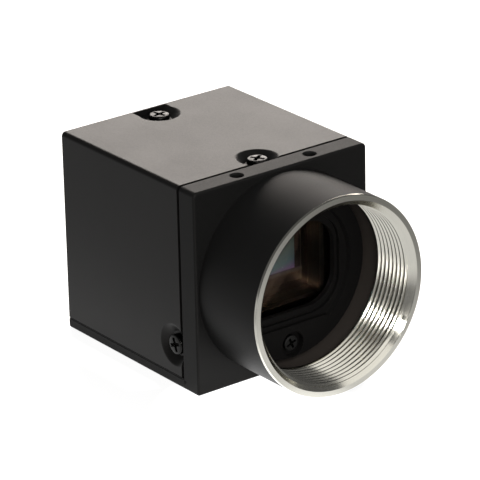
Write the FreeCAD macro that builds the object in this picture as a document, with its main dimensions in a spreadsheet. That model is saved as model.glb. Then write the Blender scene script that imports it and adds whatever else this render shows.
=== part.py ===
import FreeCAD, Part
import Sketcher
import os
import re

# Machine vision camera with a screw lens mount, in millimetres.
# +Z is up, the lens looks along -Y, and the origin is under the middle of the whole camera.

SIZES = {
    # body: front block, tube and base are one machined piece, and a U-shaped cover closes it
    "body_width": 29.0,
    "body_height": 29.0,
    "body_depth": 30.0,
    "top_edge_radius": 0.66,
    "foot_edge_radius": 0.35,
    "front_edge_radius": 0.2,
    "front_depth": 3.4,
    "seam_gap": 0.3,
    "cover_wall": 1.3,
    "cover_fit": 0.05,
    "ledge_height": 1.3,
    "ledge_gap": 0.3,
    "base_thickness": 2.8,
    "spigot_depth": 3.8,
    "spigot_wall": 2.1,
    # lens mount: steel ring with the 1 inch by 32 thread, drawn at its crest diameter
    "thread_crest_diameter": 24.54,
    "ring_wall": 1.03,
    "ring_fit": 0.02,
    "tube_wall": 0.68,
    "ring_flange": 0.3,
    "ring_edge": 0.14,
    "ring_mouth_chamfer": 0.9,
    "flange_focal": 17.526,
    "smooth_bore": 4.75,
    "bore_relief": 0.5,
    # retainer that holds the filter window at the bottom of the bore
    "retainer_thickness": 1.9,
    "retainer_fit": 0.07,
    "recess_rim": 2.1,
    "recess_depth": 0.6,
    "recess_taper": 0.25,
    "land_width": 12.0,
    "land_gap": 0.6,
    "land_inset": 1.8,
    "step_depth": 0.5,
    "step_margin": 0.45,
    "step_rise": 0.9,
    "window_side_inset": 1.1,
    "window_top_inset": 1.2,
    "window_corner": 4.4,
    "counterbore_radius": 1.8,
    "counterbore_depth": 1.0,
    "counterbore_margin": 0.15,
    # filter, gasket and the seat behind them
    "gasket_thickness": 0.3,
    "gasket_inset": 0.15,
    "filter_side_ledge": 1.5,
    "filter_top_ledge": 1.6,
    "filter_thickness": 1.0,
    "filter_corner": 2.0,
    "filter_fit": 0.1,
    "filter_seat": 1.0,
    # image sensor
    "seal_thickness": 1.776,
    "seal_wall": 1.1,
    "seal_margin": 0.2,
    "seal_side_inset": 0.2,
    "seal_top_inset": 0.1,
    "cover_glass_thickness": 0.5,
    "glass_clearance": 0.8,
    "die_side_margin": 2.1,
    "die_top_margin": 2.15,
    "die_thickness": 0.4,
    "cavity_margin": 1.2,
    "package_margin": 1.0,
    "package_side_gap": 0.6,
    "package_floor": 0.8,
    # circuit boards, their hexagonal spacers and the chassis pillars they start from
    "board_thickness": 1.0,
    "sensor_board_margin": 0.25,
    "board_side_gap": 0.75,
    "board_foot_gap": 0.6,
    "board_corner": 1.0,
    "board_hole_radius": 0.72,
    "pillar_radius": 1.25,
    "pillar_gap": 0.25,
    "pillar_side_gap": 0.6,
    "pillar_edge": 1.2,
    "pillar_hole_depth": 3.6,
    "spacer_radius": 1.3,
    "stud_radius": 0.6,
    "stud_length": 3.0,
    "thread_clearance": 0.05,
    "front_spacer_share": 0.474,
    "socket_reach": 8.474,
    # plug and socket pairs between the boards
    "link_width": 12.0,
    "link_height": 4.0,
    "link_socket_share": 0.54,
    "link_slot_width": 10.4,
    "link_slot_height": 1.6,
    "link_slot_share": 0.7,
    "link_tongue_play": 0.1,
    "link_below_axis": 6.6,
    # chips
    "processor_size": 11.0,
    "processor_thickness": 1.4,
    "processor_rise": 1.6,
    "memory_width": 7.5,
    "memory_height": 9.0,
    "memory_thickness": 1.0,
    "memory_pitch": 9.4,
    "bridge_size": 6.0,
    "bridge_thickness": 0.9,
    "inductor_size": 3.0,
    "inductor_thickness": 1.6,
    "inductor_pitch": 4.6,
    "clock_width": 3.2,
    "clock_height": 2.5,
    "clock_thickness": 0.8,
    "capacitor_width": 0.6,
    "capacitor_height": 1.1,
    "capacitor_thickness": 0.55,
    "capacitor_pitch": 1.9,
    # rear panel and what shows in it
    "panel_inset": 0.1,
    "panel_depth": 4.2,
    "panel_wall": 1.8,
    "panel_rim": 2.1,
    "socket_proud": 0.8,
    "usb_below_axis": 5.4,
    "usb_width": 12.6,
    "usb_height": 3.3,
    "usb_wall": 0.35,
    "usb_wide_opening": 7.3,
    "usb_cavity_depth": 5.2,
    "usb_panel_play": 0.25,
    "usb_tongue_thickness": 0.6,
    "usb_tongue_setback": 0.5,
    "usb_contact_width": 0.28,
    "usb_contact_thickness": 0.1,
    "usb_contact_length": 3.4,
    "usb_contact_pitch": 0.65,
    "lock_hole_spacing": 19.0,
    "lock_hole_radius": 0.8,
    "io_above_axis": 4.6,
    "io_from_centre": 4.4,
    "io_shell_radius": 3.9,
    "io_shell_wall": 0.8,
    "io_panel_play": 0.1,
    "io_insert_depth": 4.2,
    "io_insert_fit": 0.02,
    "io_pin_radius": 0.35,
    "io_pin_length": 3.4,
    "io_pin_circle": 3.4,
    "lamp_from_centre": 6.6,
    "lamp_above_axis": 6.0,
    "lamp_size": 1.6,
    "lamp_thickness": 0.7,
    "light_pipe_radius": 0.9,
    "light_pipe_fit": 0.05,
    # screws of the cover, M1.6 cross recess heads sunk in tapered pockets
    "cover_screw_setback": 5.2,
    "rear_screw_setback": 2.7,
    "side_screw_height": 5.8,
    "pocket_mouth_radius": 2.85,
    "pocket_floor_radius": 1.75,
    "pocket_depth": 0.95,
    "pocket_web": 0.2,
    "head_sink": 0.1,
    "head_radius": 1.43,
    "head_edge": 0.3,
    "small_shank_radius": 0.55,
    "small_hole_play": 0.3,
    "cover_screw_grip": 1.8,
    "cross_width": 0.36,
    "cross_length": 1.7,
    "cross_depth": 0.45,
    # retainer screws and board screws
    "retainer_head_radius": 1.1,
    "retainer_head_height": 0.7,
    "retainer_shank_radius": 0.45,
    "retainer_shank_length": 2.0,
    "board_head_radius": 1.2,
    "board_head_height": 0.9,
    "board_screw_length": 3.6,
    # countersunk screws that hold the rear panel on the base
    "foot_screw_spacing": 10.0,
    "foot_head_radius": 1.4,
    "foot_head_height": 0.8,
    "foot_head_sink": 0.05,
    "foot_screw_length": 4.2,
    # mounting holes
    "strip_hole_spacing": 12.2,
    "strip_hole_setback": 1.7,
    "strip_hole_radius": 0.8,
    "strip_hole_mouth": 1.0,
    "strip_hole_depth": 3.0,
    "foot_hole_spacing": 20.0,
    "foot_hole_radius": 1.25,
    "foot_hole_depth": 2.2,
    "foot_hole_mouth": 1.5,
    "hole_chamfer": 0.2,
}

# places worked out from the sizes
PLACES = {
    "half_width": "body_width / 2",
    "lens_height": "body_height / 2",
    "sensor_depth": "gasket_thickness + filter_thickness + filter_seat + seal_thickness"
                    " + cover_glass_thickness + glass_clearance",
    "tube_length": "flange_focal - sensor_depth",
    "front_face": "(tube_length - body_depth - socket_proud) / 2",
    "ring_face": "front_face - tube_length",
    "ring_rear": "front_face - smooth_bore",
    "rear_face": "front_face + body_depth",
    "seam": "front_face + front_depth",
    "cover_front": "seam + seam_gap",
    "cover_foot": "ledge_height + ledge_gap",
    "inner_half": "half_width - cover_wall - cover_fit",
    "inner_top": "body_height - cover_wall - cover_fit",
    "thread_radius": "thread_crest_diameter / 2",
    "sleeve_radius": "thread_radius + ring_wall",
    "tube_radius": "sleeve_radius + ring_fit + tube_wall",
    "retainer_face": "front_face - retainer_thickness",
    "retainer_radius": "thread_radius - retainer_fit",
    "recess_radius": "retainer_radius - recess_rim",
    "retainer_screw_rise": "thread_radius - counterbore_radius - counterbore_margin",
    "land_start": "window_half_height + step_rise + land_gap",
    "land_end": "retainer_radius - land_inset",
    "filter_front": "front_face + gasket_thickness",
    "filter_rear": "filter_front + filter_thickness",
    "web_rear": "filter_rear + filter_seat",
    "glass_front": "web_rear + seal_thickness",
    "glass_rear": "glass_front + cover_glass_thickness",
    "image_plane": "glass_rear + glass_clearance",
    "die_rear": "image_plane + die_thickness",
    "package_rear": "die_rear + package_floor",
    "spigot_rear": "seam + spigot_depth",
    "opening_half": "inner_half - spigot_wall",
    "pillar_side": "opening_half - pillar_radius - pillar_side_gap",
    "pillar_rise": "sensor_board_half_height - pillar_edge",
    "sensor_board_half_width": "opening_half - sensor_board_margin",
    "sensor_board_half_height": "inner_top - spigot_wall - lens_height - sensor_board_margin",
    "package_half_width": "sensor_board_half_width - package_side_gap",
    "package_half_height": "pillar_rise - pillar_radius - pillar_gap",
    "lid_half_width": "package_half_width - package_margin",
    "lid_half_height": "package_half_height - package_margin",
    "die_half_width": "lid_half_width - die_side_margin",
    "die_half_height": "lid_half_height - die_top_margin",
    "seal_half_width": "lid_half_width - seal_side_inset",
    "seal_half_height": "lid_half_height - seal_top_inset",
    "aperture_half_width": "seal_half_width - seal_wall - seal_margin",
    "aperture_half_height": "seal_half_height - seal_wall - seal_margin",
    "filter_half_width": "aperture_half_width + filter_side_ledge",
    "filter_half_height": "aperture_half_height + filter_top_ledge",
    "window_half_width": "filter_half_width - window_side_inset",
    "window_half_height": "filter_half_height - window_top_inset",
    "sensor_board_rear": "package_rear + board_thickness",
    "spacer_span": "socket_board_front - board_thickness - (sensor_board_rear)",
    "front_spacer": "spacer_span * front_spacer_share",
    "rear_spacer": "spacer_span - front_spacer",
    "main_board_front": "sensor_board_rear + front_spacer",
    "main_board_rear": "main_board_front + board_thickness",
    "socket_board_front": "socket_board_rear - board_thickness",
    "socket_board_rear": "panel_rear - socket_reach",
    "board_half_width": "inner_half - board_side_gap",
    "board_half_height": "lens_height - base_thickness - board_foot_gap",
    "panel_rear": "rear_face - panel_inset",
    "panel_front": "panel_rear - panel_depth",
    "cover_screw_y": "front_face + cover_screw_setback",
    "rear_screw_y": "rear_face - rear_screw_setback",
    "pocket_seat": "cover_wall - pocket_depth",
    "small_hole_radius": "small_shank_radius + thread_clearance",
    "usb_height_centre": "lens_height - usb_below_axis",
    "usb_low": "usb_height_centre - usb_height / 2",
    "usb_high": "usb_height_centre + usb_height / 2",
    "usb_floor": "panel_rear - usb_cavity_depth",
    "usb_rib": "usb_width / 2 - usb_wall - usb_wide_opening",
    "io_height": "lens_height + io_above_axis",
    "io_bore_radius": "io_shell_radius - io_shell_wall",
    "io_insert_face": "socket_board_rear + io_insert_depth",
    "lamp_height": "lens_height + lamp_above_axis",
    "lamp_face": "socket_board_rear + lamp_thickness",
}

ALONG = {
    "+z": FreeCAD.Rotation(),
    "-z": FreeCAD.Rotation(FreeCAD.Vector(1, 0, 0), 180),
    "+y": FreeCAD.Rotation(FreeCAD.Vector(1, 0, 0), -90),
    "-y": FreeCAD.Rotation(FreeCAD.Vector(1, 0, 0), 90),
    "+x": FreeCAD.Rotation(FreeCAD.Vector(0, 1, 0), 90),
    "-x": FreeCAD.Rotation(FreeCAD.Vector(0, 1, 0), -90),
}
KIND = {False: "PartDesign::Additive", True: "PartDesign::Subtractive"}

doc = FreeCAD.newDocument("machine_vision_camera")
sheet = doc.addObject("Spreadsheet::Sheet", "Sizes")
for row, (alias, number) in enumerate(SIZES.items(), start=1):
    sheet.set(f"A{row}", str(number))
    sheet.setAlias(f"A{row}", alias)
doc.recompute()

sub_parts = []


def formula(text):
    """Write out the places in the text and point each size at its cell in the sheet."""
    def cell(match):
        word = match.group()
        if word in ("cos", "sin", "deg"):
            return word
        if word in PLACES:
            return f"({formula(PLACES[word])})"
        return f"Sizes.{word}"
    return re.sub(r"[a-z][a-z_]+", cell, str(text))


def bind(thing, values):
    """Tie each property to the formula beside it."""
    for name, text in values.items():
        thing.setExpression(name, formula(text))


def place(thing, where, along="+z"):
    """Turn a thing towards its axis and tie its position to formulas."""
    thing.Placement = FreeCAD.Placement(FreeCAD.Vector(), ALONG[along])
    bind(thing, {f"Placement.Base.{axis}": text for axis, text in zip("xyz", where)})


def new_body(label, part=True):
    """Start a body, which is a sub-part unless it belongs to a group."""
    body = doc.addObject("PartDesign::Body", label)
    body.Label = label
    if part:
        sub_parts.append(body)
    return body


def block(body, name, low, high, cut=False):
    """Box between two corners, added to the body or cut from it."""
    feature = body.newObject(KIND[cut] + "Box", name)
    place(feature, low)
    for side, start, end in zip(("Length", "Width", "Height"), low, high):
        bind(feature, {side: f"({end}) - ({start})"})
    return feature


def rod(body, name, start, along, radius, length, cut=False):
    """Cylinder from its start along one axis."""
    feature = body.newObject(KIND[cut] + "Cylinder", name)
    place(feature, start, along)
    bind(feature, {"Radius": radius, "Height": length})
    return feature


def taper(body, name, start, along, first_radius, last_radius, length, cut=False):
    """Cone frustum from its first radius to its last along one axis."""
    feature = body.newObject(KIND[cut] + "Cone", name)
    place(feature, start, along)
    bind(feature, {"Radius1": first_radius, "Radius2": last_radius, "Height": length})
    return feature


def corner_edges(feature, axis, keep):
    """Names of the feature's edges along one axis at the corners of its own box."""
    box = feature.AddSubShape.transformed(feature.Placement.toMatrix()).BoundBox
    lows = (box.XMin, box.YMin, box.ZMin)
    highs = (box.XMax, box.YMax, box.ZMax)
    names = []
    for edge_number, edge in enumerate(feature.Shape.Edges, start=1):
        if len(edge.Vertexes) != 2:
            continue
        start, end = (vertex.Point for vertex in edge.Vertexes)
        run = end - start
        if abs(abs(run["xyz".index(axis)]) - run.Length) > 1e-6:
            continue
        sides = {}
        for number, other in enumerate("xyz"):
            if other == axis:
                continue
            if abs(start[number] - lows[number]) < 1e-6:
                sides[other] = "low"
            elif abs(start[number] - highs[number]) < 1e-6:
                sides[other] = "high"
        wanted = all(sides.get(other) == side for other, side in (keep or {}).items())
        if len(sides) == 2 and wanted:
            names.append(f"Edge{edge_number}")
    return names


def round_edges(body, name, base, edges, radius):
    """Round the named edges of the base."""
    fillet = body.newObject("PartDesign::Fillet", name)
    fillet.Base = (base, edges)
    bind(fillet, {"Radius": radius})
    return fillet


def round_corners(body, feature, axis, radius, keep=None):
    """Round the feature's own corner edges along one axis."""
    doc.recompute()
    return round_edges(body, feature.Name + "_round", feature, corner_edges(feature, axis, keep), radius)


def rounded_block(body, name, low, high, radius):
    """Box added to the body, with its four edges along Y rounded."""
    round_corners(body, block(body, name, low, high), "y", radius)


def rounded_cut(body, name, low, high, radius):
    """Opening along Y with rounded corners: two crossing boxes and a cylinder in each corner."""
    (left, near, foot), (right, far, top) = low, high
    sides = (f"{left} + {radius}", f"{right} - ({radius})")
    rises = (f"{foot} + {radius}", f"{top} - ({radius})")
    block(body, name + "_wide", (left, near, rises[0]), (right, far, rises[1]), cut=True)
    block(body, name + "_tall", (sides[0], near, foot), (sides[1], far, top), cut=True)
    for column, side in enumerate(sides):
        for row, rise in enumerate(rises):
            rod(body, f"{name}_corner_{column}{row}", (side, near, rise), "+y", radius, f"{far} - ({near})",
                cut=True)


def outline(body, name, plane, offset, points):
    """Closed sketch through the points, each tied to formulas, on one of the body's planes."""
    sketch = body.newObject("Sketcher::SketchObject", name)
    origin_plane = [item for item in body.Origin.OriginFeatures if item.Role == plane][0]
    sketch.AttachmentSupport = (origin_plane, "")
    sketch.MapMode = "FlatFace"
    bind(sketch, {"AttachmentOffset.Base.z": offset})
    count = len(points)
    start = Part.Circle(FreeCAD.Vector(), FreeCAD.Vector(0, 0, 1), SIZES["body_width"])
    spots = [start.value(6.283 * number / count) for number in range(count)]
    for number in range(count):
        sketch.addGeometry(Part.LineSegment(spots[number], spots[(number + 1) % count]), False)
    for number in range(count):
        sketch.addConstraint(Sketcher.Constraint("Coincident", number, 2, (number + 1) % count, 1))
    for number, (across, up) in enumerate(points):
        for kind, text in (("DistanceX", across), ("DistanceY", up)):
            index = sketch.addConstraint(Sketcher.Constraint(kind, -1, 1, number, 1, 1.0))
            bind(sketch, {f"Constraints[{index}]": text})
    return sketch


def group(label, pieces):
    """One sub-part made of several like, separate solids."""
    bundle = doc.addObject("Part::Compound", label)
    bundle.Label = label
    bundle.Links = pieces
    sub_parts.append(bundle)
    return bundle


def mirrored(text):
    """The formula and its mirror image."""
    return (f"-({text})", text)


def make_chassis():
    """Front block, lens tube and base, machined from one piece."""
    body = new_body("chassis")
    ledge = block(body, "base_ledge", ("-half_width", "front_face", 0),
                  ("half_width", "rear_face", "ledge_height"))
    round_corners(body, ledge, "y", "foot_edge_radius", {"z": "low"})
    front = block(body, "front_block", ("-half_width", "front_face", "ledge_height"),
                  ("half_width", "seam", "body_height"))
    upper = round_corners(body, front, "y", "top_edge_radius", {"z": "high"})
    doc.recompute()
    foremost = upper.Shape.BoundBox.YMin + 0.001
    rim = [f"Edge{number}" for number, edge in enumerate(upper.Shape.Edges, start=1)
           if edge.BoundBox.YMax < foremost]
    round_edges(body, "front_rim", upper, rim, "front_edge_radius")
    block(body, "base_floor", ("-inner_half", "seam", "ledge_height"),
          ("inner_half", "rear_face", "base_thickness"))
    block(body, "spigot", ("-inner_half", "seam", "base_thickness"),
          ("inner_half", "spigot_rear", "inner_top"))
    block(body, "spigot_opening", ("-opening_half", "web_rear", "base_thickness"),
          ("opening_half", "spigot_rear", "inner_top - spigot_wall"), cut=True)
    rod(body, "tube", (0, "ring_face + ring_flange", "lens_height"), "+y", "tube_radius",
        "tube_length - ring_flange")
    rod(body, "ring_seat", (0, "ring_face", "lens_height"), "+y", "sleeve_radius + ring_fit",
        "tube_length - smooth_bore", cut=True)
    rod(body, "bore", (0, "ring_rear", "lens_height"), "+y", "thread_radius + bore_relief", "smooth_bore",
        cut=True)
    rounded_cut(body, "filter_pocket",
                ("-filter_half_width - filter_fit", "front_face",
                 "lens_height - filter_half_height - filter_fit"),
                ("filter_half_width + filter_fit", "filter_rear",
                 "lens_height + filter_half_height + filter_fit"),
                "filter_corner + filter_fit")
    rounded_cut(body, "aperture",
                ("-aperture_half_width", "filter_rear", "lens_height - aperture_half_height"),
                ("aperture_half_width", "web_rear", "lens_height + aperture_half_height"),
                "filter_corner / 2")
    for number, rise in enumerate(mirrored("retainer_screw_rise")):
        rod(body, f"retainer_screw_hole_{number}", (0, "front_face", f"lens_height + {rise}"), "+y",
            "retainer_shank_radius + thread_clearance", "web_rear - front_face", cut=True)
    for number, side in enumerate(mirrored("strip_hole_spacing / 2")):
        where = (side, "front_face + strip_hole_setback", "body_height")
        rod(body, f"strip_hole_{number}", where, "-z", "strip_hole_radius", "strip_hole_depth", cut=True)
        taper(body, f"strip_hole_mouth_{number}", where, "-z", "strip_hole_mouth", "strip_hole_radius",
              "hole_chamfer", cut=True)
    rod(body, "cover_screw_hole", (0, "cover_screw_y", "inner_top"), "-z", "small_hole_radius",
        "spigot_wall", cut=True)
    for number, (side, along) in enumerate(zip(mirrored("inner_half"), ("+x", "-x"))):
        rod(body, f"side_screw_hole_{number}", (side, "cover_screw_y", "side_screw_height"), along,
            "small_hole_radius", "spigot_wall", cut=True)
    for column, side in enumerate(mirrored("pillar_side")):
        for row, rise in enumerate(mirrored("pillar_rise")):
            rod(body, f"pillar_{column}{row}", (side, "web_rear", f"lens_height + {rise}"), "+y",
                "pillar_radius", "package_rear - web_rear")
            rod(body, f"pillar_hole_{column}{row}", (side, "package_rear", f"lens_height + {rise}"), "-y",
                "stud_radius + thread_clearance", "pillar_hole_depth", cut=True)
    for column, side in enumerate(mirrored("foot_hole_spacing / 2")):
        for row, depth in enumerate(mirrored("foot_hole_spacing / 2")):
            where = (side, f"front_face + body_depth / 2 + {depth}", 0)
            rod(body, f"foot_hole_{column}{row}", where, "+z", "foot_hole_radius", "foot_hole_depth",
                cut=True)
            taper(body, f"foot_hole_mouth_{column}{row}", where, "+z", "foot_hole_mouth",
                  "foot_hole_radius", "hole_chamfer", cut=True)
    for number, side in enumerate(mirrored("foot_screw_spacing / 2")):
        where = (side, "rear_screw_y", 0)
        rod(body, f"foot_screw_hole_{number}", where, "+z", "small_shank_radius + small_hole_play",
            "base_thickness", cut=True)
        taper(body, f"foot_screw_sink_{number}", where, "+z",
              "foot_head_radius + foot_head_sink + thread_clearance",
              "small_shank_radius + foot_head_sink + thread_clearance", "foot_head_height", cut=True)


def make_lens_mount_ring():
    """Steel ring pressed in the tube, which carries the lens thread and shows as the bright rim."""
    body = new_body("lens_mount_ring")
    profile = outline(body, "ring_profile", "XY_Plane", 0, [
        ("thread_radius", "ring_rear"),
        ("sleeve_radius", "ring_rear"),
        ("sleeve_radius", "ring_face + ring_flange"),
        ("tube_radius", "ring_face + ring_flange"),
        ("tube_radius", "ring_face + ring_edge"),
        ("tube_radius - ring_edge", "ring_face"),
        ("thread_radius + ring_mouth_chamfer", "ring_face"),
        ("thread_radius", "ring_face + ring_mouth_chamfer"),
    ])
    turned = body.newObject("PartDesign::Revolution", "turned_ring")
    turned.Profile = profile
    turned.ReferenceAxis = (profile, ["V_Axis"])
    turned.Angle = 360
    place(body, (0, 0, "lens_height"))


def make_filter_retainer():
    """Black plate at the bottom of the bore, with a stepped window and two screw lands."""
    body = new_body("filter_retainer")
    rod(body, "plate", (0, "retainer_face", "lens_height"), "+y", "retainer_radius", "retainer_thickness")
    rounded_cut(body, "window", ("-window_half_width", "retainer_face", "lens_height - window_half_height"),
                ("window_half_width", "front_face", "lens_height + window_half_height"), "window_corner")
    rounded_cut(body, "step",
                ("-window_half_width - step_margin", "retainer_face",
                 "lens_height - window_half_height - step_rise"),
                ("window_half_width + step_margin", "retainer_face + recess_depth + step_depth",
                 "lens_height + window_half_height + step_rise"),
                "window_corner + step_margin")
    taper(body, "recess", (0, "retainer_face", "lens_height"), "+y", "recess_radius",
          "recess_radius - recess_taper", "recess_depth", cut=True)
    for number, (low, high) in enumerate((("-land_end", "-land_start"), ("land_start", "land_end"))):
        block(body, f"land_{number}", ("-land_width / 2", "retainer_face", f"lens_height + {low}"),
              ("land_width / 2", "retainer_face + recess_depth", f"lens_height + {high}"))
    for number, rise in enumerate(mirrored("retainer_screw_rise")):
        where = (0, "retainer_face", f"lens_height + {rise}")
        rod(body, f"counterbore_{number}", where, "+y", "counterbore_radius", "counterbore_depth", cut=True)
        rod(body, f"screw_hole_{number}", where, "+y", "retainer_shank_radius + thread_clearance",
            "retainer_thickness", cut=True)


def make_ring_plate(label, half_width, half_height, low_y, high_y, wall, corner):
    """Flat frame around a rectangular opening, such as a gasket or a foam seal."""
    body = new_body(label)
    rounded_block(body, label + "_outside", (f"-({half_width})", low_y, f"lens_height - ({half_height})"),
                  (half_width, high_y, f"lens_height + ({half_height})"), corner)
    rounded_cut(body, label + "_inside",
                (f"-({half_width}) + {wall}", low_y, f"lens_height - ({half_height}) + {wall}"),
                (f"{half_width} - ({wall})", high_y, f"lens_height + ({half_height}) - ({wall})"),
                f"{corner} / 2")


def make_pane(label, half_width, half_height, low_y, high_y, corner):
    """Flat rounded plate square to the lens axis."""
    body = new_body(label)
    rounded_block(body, label + "_plate", (f"-({half_width})", low_y, f"lens_height - ({half_height})"),
                  (half_width, high_y, f"lens_height + ({half_height})"), corner)
    return body


def make_sensor():
    """Gasket, filter, foam seal and the sensor with its package, die and glass lid."""
    make_ring_plate("filter_gasket", "filter_half_width - gasket_inset", "filter_half_height - gasket_inset",
                    "front_face", "filter_front", "window_side_inset - 2 * gasket_inset", "filter_corner")
    make_pane("filter_glass", "filter_half_width", "filter_half_height", "filter_front", "filter_rear",
              "filter_corner")
    make_ring_plate("sensor_seal", "seal_half_width", "seal_half_height", "web_rear", "glass_front",
                    "seal_wall", "filter_corner / 2")
    make_pane("sensor_cover_glass", "lid_half_width", "lid_half_height", "glass_front", "glass_rear",
              "board_corner / 2")
    make_pane("sensor_die", "die_half_width", "die_half_height", "image_plane", "die_rear",
              "board_corner / 10")
    package = make_pane("sensor_package", "package_half_width", "package_half_height", "glass_rear",
                        "package_rear", "board_corner / 2")
    block(package, "package_cavity",
          ("-die_half_width - cavity_margin", "glass_rear",
           "lens_height - die_half_height - cavity_margin"),
          ("die_half_width + cavity_margin", "die_rear",
           "lens_height + die_half_height + cavity_margin"), cut=True)


def make_board(label, half_width, half_height, front):
    """Circuit board with the four spacer holes."""
    body = make_pane(label, half_width, half_height, front, f"{front} + board_thickness", "board_corner")
    for column, side in enumerate(mirrored("pillar_side")):
        for row, rise in enumerate(mirrored("pillar_rise")):
            rod(body, f"{label}_hole_{column}{row}", (side, front, f"lens_height + {rise}"), "+y",
                "board_hole_radius", "board_thickness", cut=True)


def make_spacers(label, start, length):
    """Four hexagonal spacers, each with a stud in front and a threaded hole behind."""
    pieces = []
    for column, side in enumerate(mirrored("pillar_side")):
        for row, rise in enumerate(mirrored("pillar_rise")):
            body = new_body(f"{label}_{column}{row}", part=False)
            hexagon = body.newObject("PartDesign::AdditivePrism", f"{label}_hexagon_{column}{row}")
            hexagon.Polygon = 6
            bind(hexagon, {"Circumradius": "spacer_radius", "Height": length})
            rod(body, f"{label}_stud_{column}{row}", (0, 0, 0), "-z", "stud_radius",
                "board_thickness + stud_length")
            rod(body, f"{label}_hole_{column}{row}", (0, 0, length), "-z",
                "stud_radius + thread_clearance", f"stud_length + small_hole_play", cut=True)
            place(body, (side, start, f"lens_height + {rise}"), "+y")
            pieces.append(body)
    group(label, pieces)


def make_link(label, front, length):
    """Plug and socket that join two boards."""
    low = "lens_height - link_below_axis - link_height / 2"
    high = "lens_height - link_below_axis + link_height / 2"
    middle = "lens_height - link_below_axis"
    meeting = f"{front} + {length} * link_socket_share"
    slot_depth = f"{length} * link_socket_share * link_slot_share"
    socket = new_body(label + "_socket")
    block(socket, label + "_housing", ("-link_width / 2", front, low), ("link_width / 2", meeting, high))
    block(socket, label + "_slot",
          ("-link_slot_width / 2", f"{meeting} - {slot_depth}", f"{middle} - link_slot_height / 2"),
          ("link_slot_width / 2", meeting, f"{middle} + link_slot_height / 2"), cut=True)
    plug = new_body(label + "_plug")
    block(plug, label + "_plug_housing", ("-link_width / 2", meeting, low),
          ("link_width / 2", f"{front} + {length}", high))
    block(plug, label + "_tongue",
          ("-link_slot_width / 2 + link_tongue_play", f"{meeting} - {slot_depth} + link_tongue_play",
           f"{middle} - link_slot_height / 2 + link_tongue_play"),
          ("link_slot_width / 2 - link_tongue_play", meeting,
           f"{middle} + link_slot_height / 2 - link_tongue_play"))


def chip(label, side, rise, half_width, half_height, board_face, thickness, behind, part=True):
    """Flat component on one face of a board."""
    body = new_body(label, part)
    low_y, high_y = (board_face, f"{board_face} + {thickness}")
    if not behind:
        low_y, high_y = (f"{board_face} - {thickness}", board_face)
    block(body, label + "_case",
          (f"({side}) - {half_width}", low_y, f"lens_height + ({rise}) - {half_height}"),
          (f"({side}) + {half_width}", high_y, f"lens_height + ({rise}) + {half_height}"))
    return body


def make_electronics():
    """Boards, spacers, links between the boards and their chips."""
    make_board("sensor_board", "sensor_board_half_width", "sensor_board_half_height", "package_rear")
    make_board("main_board", "board_half_width", "board_half_height", "main_board_front")
    make_board("socket_board", "board_half_width", "board_half_height", "socket_board_front")
    make_spacers("front_spacers", "sensor_board_rear", "front_spacer")
    make_spacers("rear_spacers", "main_board_rear", "rear_spacer")
    make_link("front_link", "sensor_board_rear", "front_spacer")
    make_link("rear_link", "main_board_rear", "rear_spacer")
    chip("image_processor", 0, "processor_rise", "processor_size / 2", "processor_size / 2",
         "main_board_rear", "processor_thickness", behind=True)
    chip("usb_bridge", 0, "processor_rise", "bridge_size / 2", "bridge_size / 2", "socket_board_front",
         "bridge_thickness", behind=False)
    chip("clock_crystal", "bridge_size / 2 + clock_width", "processor_rise", "clock_width / 2",
         "clock_height / 2", "socket_board_front", "clock_thickness", behind=False)
    memory = [chip(f"memory_chip_{number}", side, "processor_rise", "memory_width / 2", "memory_height / 2",
                   "main_board_front", "memory_thickness", behind=False, part=False)
              for number, side in enumerate(mirrored("memory_pitch / 2"))]
    group("memory_chips", memory)
    coils = [chip(f"inductor_{number}", f"-bridge_size / 2 - inductor_size", f"processor_rise + {rise}",
                  "inductor_size / 2", "inductor_size / 2", "socket_board_front", "inductor_thickness",
                  behind=False, part=False)
             for number, rise in enumerate(mirrored("inductor_pitch / 2"))]
    group("power_inductors", coils)
    row_rise = "processor_rise + processor_size / 2 + capacitor_height"
    front_row = [chip(f"capacitor_{number}", f"capacitor_pitch * {number - 2.5}", row_rise,
                      "capacitor_width / 2", "capacitor_height / 2", "main_board_rear",
                      "capacitor_thickness", behind=True, part=False) for number in range(6)]
    group("board_capacitors", front_row)


def cross_head(body, name, top, length, width, depth):
    """Cross recess cut in the top of a screw head that looks along +Z."""
    for number, (across, along) in enumerate(((length, width), (width, length))):
        block(body, f"{name}_slot_{number}", (f"-{across} / 2", f"-{along} / 2", f"{top} - {depth}"),
              (f"{across} / 2", f"{along} / 2", top), cut=True)
    taper(body, name + "_point", (0, 0, top), "-z", f"{width}", f"{width} / 3", f"{depth} * 1.4", cut=True)


def pan_screw(name, head_radius, head_height, shank_radius, shank_length, where, along, size=1):
    """Screw with a flat round head, its seat at the origin and its shank down, then put in place."""
    body = new_body(name, part=False)
    rod(body, name + "_head", (0, 0, 0), "+z", head_radius, f"{head_height} - head_edge")
    taper(body, name + "_crown", (0, 0, f"{head_height} - head_edge"), "+z", head_radius,
          f"{head_radius} - head_edge", "head_edge")
    rod(body, name + "_shank", (0, 0, 0), "-z", shank_radius, shank_length)
    cross_head(body, name + "_cross", head_height, f"cross_length * {size}", f"cross_width * {size}",
               "cross_depth")
    place(body, where, along)
    return body


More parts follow.
